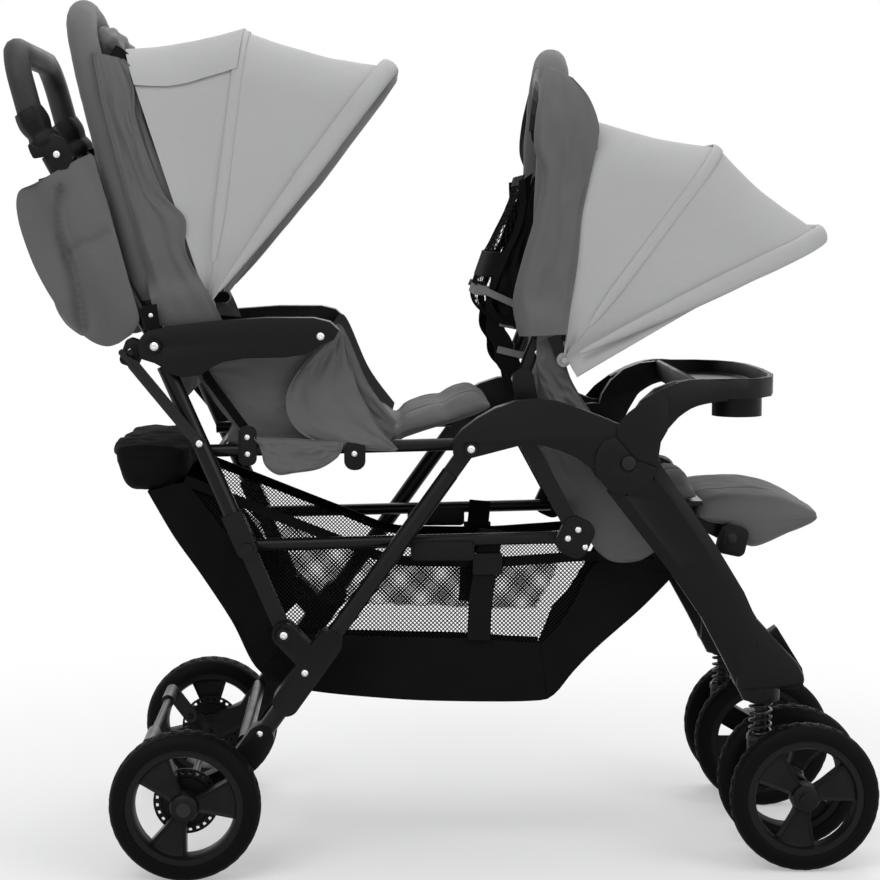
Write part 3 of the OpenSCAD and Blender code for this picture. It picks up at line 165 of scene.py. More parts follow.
@dataclass(frozen=True)
class Finish:
    """One finish: its colour, its gloss and the pattern that its surface shows."""

    name: str
    slot: Slot
    surface: Surface
    colour: Triple
    roughness: float
    pattern: float
    relief: float
    mottle: float = 0.12
    wear: float = 0.0
    sheen: float = 0.0
    coat: float = 0.0
    metallic: float = 0.0
    gloss: float = 0.5
    sheen_roughness: float = 0.45
    coat_roughness: float = 0.18
    broad_cells: float = 14.0
    roughness_spread: float = 0.09
    bump: float = 0.6

    def material(self) -> bpy.types.Material:
        """Builds the finish once, and finds it again after that.

        Returns:
            The material with its nodes.
        """
        found = bpy.data.materials.get(self.name)
        if found:
            return found
        made = bpy.data.materials.new(self.name)
        made.use_nodes = True
        tree = made.node_tree
        place = add_node(tree, "ShaderNodeTexCoord", {}).outputs["Object"]
        broad = self._noise(tree, place, self.broad_cells, 3.0)
        fine = self._pattern(tree, place)
        tone = self._mix(tree, broad, self._tint(1 - self.mottle), self._tint(1 + self.mottle))
        tone = self._shade(tree, fine, tone)
        if self.wear:
            tone = self._edges(tree, tone)
        height = {"Strength": self.bump, "Distance": self.relief, "Height": fine}
        feed(tree, tree.nodes["Principled BSDF"], {
            "Base Color": tone,
            "Metallic": self.metallic,
            "Roughness": self._span(tree, broad, self.roughness_spread),
            "Specular IOR Level": self.gloss,
            "Sheen Weight": self.sheen,
            "Sheen Roughness": self.sheen_roughness,
            "Coat Weight": self.coat,
            "Coat Roughness": self.coat_roughness,
            "Normal": add_node(tree, "ShaderNodeBump", height).outputs["Normal"],
        })
        return made

    def _tint(self, share: float) -> tuple[float, ...]:
        """Returns the colour lightened or darkened by a share."""
        return (*(min(1.0, c * share) for c in self.colour), 1.0)

    @staticmethod
    def _noise(tree: Tree, place: Any, scale: float, detail: float) -> Any:
        """Returns the output of a noise of that many cells a metre."""
        inputs = {"Scale": scale, "Detail": detail, "Vector": place}
        return add_node(tree, "ShaderNodeTexNoise", inputs).outputs["Fac"]

    def _pattern(self, tree: Tree, place: Any) -> Any:
        """Makes the fine pattern: crossing threads, a moulded grain or brushed lines.

        Args:
            tree: The material's nodes.
            place: The coordinates that the pattern follows.

        Returns:
            The socket that gives the pattern's height from 0 to 1.
        """
        if self.surface is Surface.GRAINED:
            return self._noise(tree, place, 1 / self.pattern, 4.0)
        slant = {"Rotation": (math.radians(45), 0, 0), "Vector": place}
        turned = add_node(tree, "ShaderNodeMapping", slant).outputs["Vector"]
        weave = {"Scale": math.tau / (20 * self.pattern), "Distortion": 0.6, "Vector": turned}
        threads = [add_node(tree, "ShaderNodeTexWave", weave, bands_direction=way).outputs["Fac"]
                   for way in ("X", "Z")]
        how = "MULTIPLY" if self.surface is Surface.WOVEN else "MAXIMUM"
        return add_node(tree, "ShaderNodeMath", dict(enumerate(threads)), operation=how).outputs["Value"]

    @staticmethod
    def _mix(tree: Tree, factor: Any, low: Any, high: Any) -> Any:
        """Returns a colour between low and high, each a colour or a socket."""
        inputs = {"Factor": factor, 6: low, 7: high}
        return add_node(tree, "ShaderNodeMix", inputs, data_type="RGBA").outputs[2]

    def _shade(self, tree: Tree, fine: Any, tone: Any) -> Any:
        """Returns the tone with the pattern picked out, darker on a pale finish and paler on a dark one."""
        depth = self._spread(tree, fine, 0.0, 0.35 if self.surface is Surface.WOVEN else 0.16)
        return self._mix(tree, depth, tone, self._tint(0.72 if self.colour[0] > 0.05 else 1.5))

    def _edges(self, tree: Tree, tone: Any) -> Any:
        """Returns the tone, rubbed paler along the edges."""
        sharp = add_node(tree, "ShaderNodeNewGeometry", {}).outputs["Pointiness"]
        rubbed = self._spread(tree, sharp, 0.0, self.wear, 0.51, 0.6)
        return self._mix(tree, rubbed, tone, self._tint(3.2))

    @staticmethod
    def _spread(tree: Tree, value: Any, low: float, high: float, start: float = 0.0, end: float = 1.0) -> Any:
        """Returns a value mapped from start and end to low and high."""
        inputs = {"From Min": start, "From Max": end, "To Min": low, "To Max": high, "Value": value}
        return add_node(tree, "ShaderNodeMapRange", inputs).outputs["Result"]

    def _span(self, tree: Tree, value: Any, width: float) -> Any:
        """Returns the roughness, varied by a width round its middle."""
        return self._spread(tree, value, self.roughness - width, min(1.0, self.roughness + width), 0.3, 0.7)


DARK_CLOTH = Finish(
    "dark_grey_cloth", Slot.DARK_CLOTH, Surface.WOVEN, (0.098, 0.098, 0.1), 0.85, 0.0016, 0.0003, 0.1,
    sheen=0.15
)
LIGHT_CLOTH = Finish(
    "light_grey_cloth", Slot.LIGHT_CLOTH, Surface.WOVEN, (0.4, 0.4, 0.4), 0.85, 0.0014, 0.00025, 0.05,
    sheen=0.1
)
BLACK_CLOTH = Finish(
    "black_woven_cloth", Slot.BLACK_CLOTH, Surface.WOVEN, (0.0042, 0.0042, 0.0044), 0.8, 0.0016, 0.0003,
    0.2, gloss=0.06
)
WEBBING = Finish(
    "black_webbing", Slot.BLACK_CLOTH, Surface.WOVEN, (0.005, 0.005, 0.0052), 0.75, 0.0026, 0.0006, 0.15,
    gloss=0.08
)
NET_CORD = Finish(
    "black_net", Slot.BLACK_CLOTH, Surface.WOVEN, (0.006, 0.006, 0.0062), 0.7, 0.0008, 0.0001, 0.2,
    gloss=0.08
)
PALE_TAPE = Finish(
    "grey_tape", Slot.DARK_CLOTH, Surface.WOVEN, (0.13, 0.13, 0.132), 0.8, 0.002, 0.0003, 0.12
)
PLASTIC = Finish(
    "black_moulding", Slot.PLASTIC, Surface.GRAINED, (0.0042, 0.0042, 0.0043), 0.44, 0.0009, 0.00012, 0.16,
    wear=0.25, gloss=0.13
)
BUTTON = Finish(
    "button_moulding", Slot.GREY_PLASTIC, Surface.GRAINED, (0.0062, 0.0062, 0.0064), 0.4, 0.0008, 0.0001,
    0.16, wear=0.3, gloss=0.22
)
TUBE = Finish(
    "black_tube_paint", Slot.TUBE, Surface.GRAINED, (0.0036, 0.0036, 0.0037), 0.32, 0.0022, 0.00006, 0.14,
    wear=0.12, coat=0.08, gloss=0.13
)
DARK_STEEL = Finish(
    "blackened_steel", Slot.STEEL, Surface.GRAINED, (0.008, 0.008, 0.0083), 0.36, 0.001, 0.00005, 0.2,
    wear=0.3, gloss=0.22
)
HINGE_CAP = Finish(
    "pale_hinge_moulding", Slot.STEEL, Surface.GRAINED, (0.33, 0.33, 0.332), 0.5, 0.0012, 0.0001, 0.08,
    gloss=0.3
)
RIVET = Finish(
    "bright_rivet", Slot.RIVET, Surface.BRUSHED, (0.72, 0.72, 0.73), 0.24, 0.0009, 0.00005, 0.08,
    metallic=1.0
)
RUBBER = Finish(
    "tyre_rubber", Slot.TYRE, Surface.GRAINED, (0.0024, 0.0024, 0.0025), 0.6, 0.0012, 0.0002, 0.2,
    wear=0.2, gloss=0.06
)
FOAM = Finish(
    "grip_foam", Slot.FOAM, Surface.GRAINED, (0.012, 0.012, 0.0123), 0.6, 0.0008, 0.0004, 0.16, gloss=0.4
)


def activate(*pieces: Piece) -> None:
    """Selects these pieces alone, and makes the first the active one."""
    bpy.ops.object.select_all(action="DESELECT")
    for piece in pieces:
        piece.select_set(True)
    bpy.context.view_layer.objects.active = pieces[0]


def active() -> Piece:
    """Returns the piece that the last operator made."""
    return bpy.context.view_layer.objects.active


def link(thing: Piece) -> Piece:
    """Returns a new object, put into the scene."""
    bpy.context.scene.collection.objects.link(thing)
    return thing


def named(piece: Piece, name: str) -> Piece:
    """Returns the piece with its mesh under the same name."""
    piece.name = piece.data.name = name
    return piece


@contextmanager
def editing(piece: Piece, mode: str = "FACE") -> Iterator[bmesh.types.BMesh]:
    """Opens a piece in edit mode with nothing selected.

    Args:
        piece: The piece to shape.
        mode: VERT, EDGE or FACE.

    Yields:
        The mesh in edit mode, for selecting by place or normal.
    """
    activate(piece)
    bpy.ops.object.mode_set(mode="EDIT")
    bpy.ops.mesh.select_mode(type=mode)
    bpy.ops.mesh.select_all(action="DESELECT")
    mesh = bmesh.from_edit_mesh(piece.data)
    mesh.faces.ensure_lookup_table()
    try:
        yield mesh
    finally:
        bpy.ops.object.mode_set(mode="OBJECT")


def choose(piece: Piece, faces: Iterable[bmesh.types.BMFace]) -> None:
    """Selects these faces of the piece that is being edited."""
    for face in faces:
        face.select_set(True)
    bmesh.update_edit_mesh(piece.data)


def modify(piece: Piece, kind: str, **settings: Any) -> Piece:
    """Adds a modifier with these settings and applies it.

    Args:
        piece: The piece to change.
        kind: The modifier's type.
        **settings: Its values.

    Returns:
        The same piece.
    """
    activate(piece)
    made = piece.modifiers.new(kind.lower(), kind)
    for name, value in settings.items():
        setattr(made, name, value)
    bpy.ops.object.modifier_apply(modifier=made.name)
    return piece


def subdivide(piece: Piece, levels: int = 1) -> Piece:
    """Returns the piece with its surface subdivided."""
    return modify(piece, "SUBSURF", levels=levels, render_levels=levels)


def smooth(piece: Piece, degrees: float = 35) -> Piece:
    """Returns the piece, shaded smooth but for edges sharper than this."""
    activate(piece)
    bpy.ops.object.shade_smooth_by_angle(angle=math.radians(degrees))
    return piece


def settle(piece: Piece) -> Piece:
    """Returns the piece with its place, turn and scale in its mesh."""
    activate(piece)
    bpy.ops.object.transform_apply(location=True, rotation=True, scale=True)
    return piece


def face_outwards(piece: Piece) -> Piece:
    """Returns the piece with doubles merged and its faces outwards."""
    with editing(piece):
        bpy.ops.mesh.select_all(action="SELECT")
        bpy.ops.mesh.remove_doubles(threshold=MERGE_DISTANCE)
        bpy.ops.mesh.normals_make_consistent(inside=False)
    return piece


def mesh_piece(name: str, points: Sequence[Vector], faces: Sequence[Sequence[int]]) -> Piece:
    """Makes a piece from points and faces, for cloth and padding."""
    data = bpy.data.meshes.new(name)
    data.from_pydata([tuple(p) for p in points], [], [tuple(f) for f in faces])
    return link(bpy.data.objects.new(name, data))


def join(name: str, pieces: Sequence[Piece]) -> Piece:
    """Returns several pieces as one, under a name."""
    activate(*pieces)
    if len(pieces) > 1:
        bpy.ops.object.join()
    return named(active(), name)


def copy_of(piece: Piece, name: str, move: Matrix | None = None) -> Piece:
    """Copies a piece, with a mesh of its own.

    Args:
        piece: The piece to copy.
        name: The name of the copy.
        move: How the copy is moved.

    Returns:
        The copy.
    """
    made = piece.copy()
    made.data = piece.data.copy()
    named(made, name).parent = None
    for key in [k for k in made.keys() if k.startswith("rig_")]:
        del made[key]
    link(made).hide_render = made.hide_viewport = False
    if move is not None:
        made.data.transform(move)
        if move.determinant() < 0:
            made.data.flip_normals()
    return made


def node_copy(node: str, name: str) -> Piece:
    """Copies a CAD node, merged and with its flat faces whole.

    Args:
        node: The CAD node.
        name: The name of the copy.

    Returns:
        The copy.
    """
    made = copy_of(frame["nodes"][node], name)
    made.data.materials.clear()
    with editing(made):
        bpy.ops.mesh.select_all(action="SELECT")
        bpy.ops.mesh.customdata_custom_splitnormals_clear()
        bpy.ops.mesh.remove_doubles(threshold=MERGE_DISTANCE)
        bpy.ops.mesh.dissolve_limited(angle_limit=math.radians(1.0))
    return made


def block(name: str, place: Sequence[float], size: Sequence[float], turn: float = 0.0) -> Piece:
    """Returns a block of a size at a place, turned about Y, to be shaped further."""
    bpy.ops.mesh.primitive_cube_add(size=1, location=place, rotation=(0, math.radians(turn), 0))
    piece = named(active(), name)
    piece.scale = size
    return settle(piece)


def clamp(value: float) -> float:
    """Returns the value kept from 0 to 1."""
    return min(1.0, max(0.0, value))


def steps_across(count: int) -> list[float]:
    """Returns even steps from -1 to 1."""
    return [2 * i / (count - 1) - 1 for i in range(count)]


def steps_round(count: int) -> list[float]:
    """Returns the angles of even steps round a circle."""
    return [math.tau * k / count for k in range(count)]


def pillow(share: float, power: float, least: float) -> float:
    """Returns the size of a stuffed form at a share from -1 to 1 of its length, round at both ends."""
    return (1 - abs(share) ** power) ** 0.5 * (1 - least) + least


def tapered(least: float, reach: float, power: float) -> Share:
    """Returns a fullness that grows from least at both ends of a bar to 1 within a reach."""
    return lambda t: least + (1 - least) * min(1.0, min(t, 1 - t) / reach) ** power


def lining(outer: Relief, thick: float) -> Relief:
    """Returns the inner face of a cloth of that thickness."""
    return lambda u, v, place: outer(u, v, place) - thick


def grid_faces(rows: int, columns: int) -> list[list[int]]:
    """Returns the square faces of a grid's points."""
    corners = [i * columns + j for i in range(rows - 1) for j in range(columns - 1)]
    return [[k, k + 1, k + columns + 1, k + columns] for k in corners]


def soften(piece: Piece, width: float = 0.0012, degrees: float = 38) -> Piece:
    """Returns the piece with its sharp edges rounded, as a moulding has them."""
    modify(piece, "BEVEL", width=width, segments=2, limit_method="ANGLE", angle_limit=math.radians(degrees),
           harden_normals=False)
    return smooth(piece)


def recess(piece: Piece, axis: Vector, least: float, width: float, depth: float) -> Piece:
    """Insets a moulding's large flat faces that look one way and presses them in.

    Args:
        piece: The moulding.
        axis: The way that the faces look.
        least: The least area of a face.
        width: The rim that is left.
        depth: How far the inside is pressed in.

    Returns:
        The same piece.
    """
    with editing(piece) as mesh:
        choose(piece, [f for f in mesh.faces if f.normal.dot(axis) > 0.98 and f.calc_area() > least])
        bpy.ops.mesh.inset(thickness=width, depth=-depth, use_even_offset=True)
    return piece


def smooth_line(points: Sequence[Sequence[float]], steps: int, closed: bool = False) -> list[Vector]:
    """Runs a smooth curve through points, at even steps along it.

    Args:
        points: Points of two or three numbers.
        steps: How many points to return.
        closed: Whether the curve comes back to its start.

    Returns:
        The points of the curve.
    """
    given = [Vector(p) for p in points]
    count = len(given)
    spans = count if closed else count - 1
    fine: list[Vector] = []
    for i in range(spans):
        a, b, c, d = (
            given[j % count] if closed else given[min(max(j, 0), count - 1)] for j in (i - 1, i, i + 1, i + 2)
        )
        for k in range(16):
            t = k / 16
            fine.append(0.5 * (2 * b + (c - a) * t + (2 * a - 5 * b + 4 * c - d) * t**2
                               + (3 * b - a - 3 * c + d) * t**3))
    fine.append(given[0] if closed else given[-1])
    return even(fine, steps, closed)


def even(points: Sequence[Vector], steps: int, closed: bool = False) -> list[Vector]:
    """Sets points at even steps along a polyline.

    Args:
        points: The polyline.
        steps: How many points to return.
        closed: Whether the line comes back to its start.

    Returns:
        The points.
    """
    lengths = [0.0]
    for a, b in zip(points, points[1:]):
        lengths.append(lengths[-1] + (b - a).length)
    found = []
    at = 0
    for i in range(steps):
        want = lengths[-1] * i / (steps if closed else steps - 1)
        while at < len(points) - 2 and lengths[at + 1] < want:
            at += 1
        span = lengths[at + 1] - lengths[at]
        found.append(points[at].lerp(points[at + 1], (want - lengths[at]) / span if span else 0.0))
    return found


def loft(name: str, rings: Sequence[Sequence[Vector]], closed: bool = False) -> Piece:
    """Makes a closed skin over rings of the same number of points.

    Args:
        name: The piece's name.
        rings: The rings in order.
        closed: Whether the last ring joins the first.

    Returns:
        The piece.
    """
    size = len(rings[0])
    points = [p for ring in rings for p in ring]
    faces: list[list[int]] = []
    for i in range(len(rings) if closed else len(rings) - 1):
        low, high = i * size, (i + 1) % len(rings) * size
        for j in range(size):
            k = (j + 1) % size
            faces.append([low + j, low + k, high + k, high + j])
    if not closed:
        faces.append(list(range(size))[::-1])
        faces.append([len(points) - size + j for j in range(size)])
    return face_outwards(mesh_piece(name, points, faces))


def tube(name: str, path: Sequence[Vector], radius: float, sides: int = 12, closed: bool = False) -> Piece:
    """Sweeps a round bar along a path with a curve's bevel.

    Args:
        name: The piece's name.
        path: The middle line.
        radius: The bar's radius.
        sides: How many faces go round it.
        closed: Whether the path is a loop.

    Returns:
        The bar as a mesh.
    """
    curve = bpy.data.curves.new(name, "CURVE")
    curve.dimensions = "3D"
    curve.bevel_depth = radius
    curve.bevel_resolution = max(1, sides // 4 - 1)
    curve.use_fill_caps = not closed
    line = curve.splines.new("POLY")
    line.points.add(len(path) - 1)
    line.use_cyclic_u = closed
    for place, point in zip(line.points, path):
        place.co = (*point, 1.0)
    activate(link(bpy.data.objects.new(name, curve)))
    bpy.ops.object.convert(target="MESH")
    return smooth(face_outwards(active()), 50)


def cross_frames(path: Sequence[Vector], across: Vector) -> Iterator[tuple[Vector, Vector, Vector]]:
    """Yields each point of a path with the way across it and the way up from it."""
    for i, point in enumerate(path):
        along = (path[min(i + 1, len(path) - 1)] - path[max(i - 1, 0)]).normalized()
        side = (across - along * across.dot(along)).normalized()
        yield point, side, along.cross(side)


def side_line(points: Edge, across: float, steps: int) -> list[Vector]:
    """Returns a smooth line through places along X and Z, at a distance from the middle plane."""
    return [Vector((p.x, across, p.y)) for p in smooth_line(points, steps)]


def strap(name: str, path: Sequence[Vector], across: Vector, width: float, thick: float) -> Piece:
    """Makes flat webbing with folded edges along a path.

    Args:
        name: The piece's name.
        path: The middle line.
        across: The way that its width lies.
        width: Its width.
        thick: Its thickness.

    Returns:
        The strap.
    """
    shape = [(width / 2 * a, thick / 2 * b) for a, b in STRAP_SHARES]
    rings = [[point + side * a + up * b for a, b in shape] for point, side, up in cross_frames(path, across)]
    return smooth(loft(name, rings), 40)


def cut_plate(name: str, outline: Sequence[Point], near: float, far: float) -> Piece:
    """Models a plate: a disc's rim is drawn out to an outline and the face pulled to a thickness.

    Args:
        name: The piece's name.
        outline: The outline as places along X and Z.
        near: Where its first face lies across the stroller.
        far: Where its second face lies.

    Returns:
        The plate with sharp edges.
    """
    bpy.ops.mesh.primitive_circle_add(vertices=len(outline), radius=0.02, fill_type="NGON")
    piece = named(active(), name)
    with editing(piece) as mesh:
        for vertex, (x, z) in zip(mesh.verts, outline):
            vertex.co = (x, near, z)
        choose(piece, mesh.faces)
        bpy.ops.mesh.extrude_region_move(TRANSFORM_OT_translate={"value": (0, far - near, 0)})
    return face_outwards(piece)


def flat_panel(
    name: str, low: Edge, high: Edge, side: int, outer: Relief, inner: Relief, across: int = 20,
    along: int = 56,
) -> Piece:
    """Makes a closed cloth panel that stands about upright along the stroller's side, between two edges.

    Args:
        name: The piece's name.
        low: The first edge as places along X and Z.
        high: The second edge, drawn the same way.
        side: -1 for the near side and 1 for the far side.
        outer: The outer face's distance from the middle plane, from the shares and the place.
        inner: The inner face's distance.
        across: How many steps go from edge to edge.
        along: How many steps go along the edges.

    Returns:
        The panel.
    """
    starts, ends = smooth_line(low, along), smooth_line(high, along)
    points, faces = [], []
    for face in (outer, inner):
        for i in range(across):
            for j in range(along):
                u, v = i / (across - 1), j / (along - 1)
                place = starts[j].lerp(ends[j], u)
                points.append(Vector((place.x, side * face(u, v, place), place.y)))
    size = across * along
    for i in range(across - 1):
        for j in range(along - 1):
            a, b = i * along + j, (i + 1) * along + j
            faces.append([a, a + 1, b + 1, b])
            faces.append([size + a, size + b, size + b + 1, size + a + 1])
    rim = [i * along for i in range(across)]
    rim += [(across - 1) * along + j for j in range(1, along)]
    rim += [i * along + along - 1 for i in range(across - 2, -1, -1)]
    rim += list(range(along - 2, 0, -1))
    for a, b in zip(rim, rim[1:] + rim[:1]):
        faces.append([a, b, size + b, size + a])
    return smooth(face_outwards(mesh_piece(name, points, faces)), 60)


def ripple(place: Vector, scale: float, seed: float = 0.0) -> float:
    """Returns a smooth uneven value from -1 to 1 at a place."""
    return noise.noise(place * scale + Vector((seed, seed * 0.7, seed * 1.3)))


def creased(place: Vector, creases: Creases, seed: float = 0.0) -> float:
    """Returns the height of soft creases at a place, each with a scale, a height and a seed of its own."""
    return sum(ripple(place, scale, own + seed) * height for scale, height, own in creases)


def press(piece: Piece, depth: Callable[[Vector, Vector], float]) -> Piece:
    """Moves each point along its normal by a depth that its place gives.

    Args:
        piece: The piece to change.
        depth: The distance from a point's place and normal, inwards where it is negative.

    Returns:
        The same piece.
    """
    data = piece.data
    moves = [v.normal * depth(v.co, v.normal) for v in data.vertices]
    for vertex, move in zip(data.vertices, moves):
        vertex.co += move
    data.update()
    return piece


def groove(distance: float, width: float) -> float:
    """Returns 1 on a seam's line and 0 away from it."""
    return math.exp(-((distance / width) ** 2))


def inflate(piece: Piece, shrink: float, most: float, voxel: float = 0.005) -> Piece:
    """Fills a pad by a cloth simulation with pressure inside.

    Args:
        piece: The pad's plain form.
        shrink: How much smaller the pad starts.
        most: The most that a point may move.
        voxel: The size of the cloth's faces.

    Returns:
        The filled pad.
    """
    modify(piece, "REMESH", mode="VOXEL", voxel_size=voxel)
    press(piece, lambda place, normal: -shrink)
    before = [v.co.copy() for v in piece.data.vertices]
    cloth = piece.modifiers.new("filling", "CLOTH")
    cloth.settings.quality = 4
    cloth.settings.use_pressure = True
    cloth.settings.uniform_pressure_force = 4.0
    cloth.settings.effector_weights.gravity = 0.0
    for step in range(1, 21):
        bpy.context.scene.frame_set(step)
    activate(piece)
    bpy.ops.object.modifier_apply(modifier=cloth.name)
    bpy.context.scene.frame_set(1)
    for vertex, start in zip(piece.data.vertices, before):
        move = vertex.co - start
        vertex.co = start + move * min(1.0, most / max(move.length, 1e-9))
    piece.data.update()
    modify(piece, "SMOOTH", factor=0.5, iterations=4)
    return subdivide(piece)


def dress(piece: Piece, finish: Finish, body: str, *nodes: str) -> Piece:
    """Gives a piece its finish and its body.

    Args:
        piece: The finished piece.
        finish: Its finish.
        body: The body that it moves with.
        *nodes: The CAD nodes that it stands for.

    Returns:
        The same piece.
    """
    coat(piece, finish)
    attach(piece, body)
    if nodes:
        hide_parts(*nodes)
    return piece


def coat(piece: Piece, finish: Finish) -> Piece:
    """Gives a piece its material.

    Args:
        piece: The finished piece.
        finish: Its finish.

    Returns:
        The same piece.
    """
    piece.data.materials.clear()
    piece.data.materials.append(finish.material())
    LOG.info("%s: %s, %d faces", piece.name, finish.name, len(piece.data.polygons))
    return piece


def paint(node: str, finish: Finish) -> None:
    """Gives a CAD node that stays in view a finish of its own.

    Args:
        node: The CAD node.
        finish: Its finish.
    """
    shown = frame["nodes"][node]
    for place in shown.material_slots:
        place.material = finish.material()
    if not shown.material_slots:
        shown.data.materials.append(finish.material())


@dataclass
class Studio:
    """The floor, the soft light and the camera at the photograph's place."""

    eye: Triple = (-0.085, -3.07, 0.8276)
    pitch: float = 5.57
    yaw: float = 1.54
    lens: float = 94.46
    aim: Triple = (0.0, 0.0, 0.5)
    floor_half: float = 12.0
    shadow_reach: float = 1.5
    lamps: tuple[tuple[str, Triple, float, float], ...] = (
        ("key", (-1.5, -2.6, 3.2), 62.0, 2.4),
        ("fill", (2.6, -2.2, 1.9), 34.0, 2.2),
        ("top", (0.2, 0.6, 3.6), 46.0, 2.6),
        ("back", (0.6, 3.0, 2.4), 36.0, 2.4),
    )

    def build(self) -> None:
        """Makes the floor, the world, the lamps and the camera."""
        self._floor()
        self._world()
        for name, place, power, size in self.lamps:
            lamp = bpy.data.lights.new(name, "AREA")
            lamp.energy = power
            lamp.size = size
            holder = link(bpy.data.objects.new(name, lamp))
            holder.location = place
            aim = Vector(self.aim) - Vector(place)
            holder.rotation_euler = aim.to_track_quat("-Z", "Y").to_euler()
        camera = bpy.data.cameras.new("camera")
        camera.lens = self.lens
        holder = link(bpy.data.objects.new("camera", camera))
        holder.location = self.eye
        holder.rotation_euler = (math.radians(90 - self.pitch), 0.0, math.radians(-self.yaw))
        bpy.context.scene.camera = holder
        bpy.context.scene.view_settings.view_transform = "Standard"

    def _floor(self) -> None:
        """Makes a pale floor that keeps the shadow near the object and fades to white around it."""
        bpy.ops.mesh.primitive_plane_add(size=self.floor_half * 2, location=(0, 0, 0))
        floor = named(active(), "floor")
        with editing(floor) as mesh:
            choose(floor, mesh.faces)
            bpy.ops.mesh.subdivide(number_cuts=3)
        made = bpy.data.materials.new("pale_floor")
        made.use_nodes = True
        tree = made.node_tree
        tree.nodes.clear()
        matt = add_node(tree, "ShaderNodeBsdfDiffuse", {"Color": (0.9, 0.9, 0.9, 1.0)})
        glow = add_node(tree, "ShaderNodeEmission", {})
        place = add_node(tree, "ShaderNodeTexCoord", {}).outputs["Object"]
        length = add_node(tree, "ShaderNodeVectorMath", {0: place}, operation="LENGTH").outputs["Value"]
        near, far = self.shadow_reach * 0.35, self.shadow_reach
        reach = {"From Min": near, "From Max": far, "To Min": 0.35, "Value": length}
        fade = add_node(tree, "ShaderNodeMapRange", reach, interpolation_type="SMOOTHSTEP").outputs["Result"]
        share = add_node(tree, "ShaderNodeMath", {0: fade, 1: self._seen(tree)}, operation="MULTIPLY")
        self._show(tree, "ShaderNodeOutputMaterial", share.outputs["Value"], matt, glow)
        floor.data.materials.append(made)

    @staticmethod
    def _seen(tree: Tree) -> Any:
        """Makes a value that is 1 for what the camera sees, straight or by gloss or glass.

        Args:
            tree: The nodes of a material or of the world.

        Returns:
            The socket that gives it.
        """
        path = add_node(tree, "ShaderNodeLightPath", {}).outputs
        total = path["Is Camera Ray"]
        for ray in ("Is Glossy Ray", "Is Transmission Ray"):
            most = add_node(tree, "ShaderNodeMath", {0: total, 1: path[ray]}, operation="MAXIMUM")
            total = most.outputs["Value"]
        return total

    @staticmethod
    def _show(tree: Tree, kind: str, share: Any, low: bpy.types.Node, high: bpy.types.Node) -> None:
        """Mixes two shaders and sends them to an output.

        Args:
            tree: The nodes of a material or of the world.
            kind: The output's type.
            share: The socket that gives the second shader's share.
            low: The first shader.
            high: The second shader.
        """
        mix = add_node(tree, "ShaderNodeMixShader", {"Fac": share, 1: low.outputs[0], 2: high.outputs[0]})
        add_node(tree, kind, {"Surface": mix.outputs["Shader"]})

    def _world(self) -> None:
        """Makes a world that looks white and lights softly."""
        world = bpy.data.worlds.new("studio")
        bpy.context.scene.world = world
        world.use_nodes = True
        tree = world.node_tree
        tree.nodes.clear()
        soft = add_node(tree, "ShaderNodeBackground", {"Color": (0.86, 0.87, 0.88, 1.0), "Strength": 0.42})
        white = add_node(tree, "ShaderNodeBackground", {"Color": (1.0, 1.0, 1.0, 1.0)})
        self._show(tree, "ShaderNodeOutputWorld", self._seen(tree), soft, white)


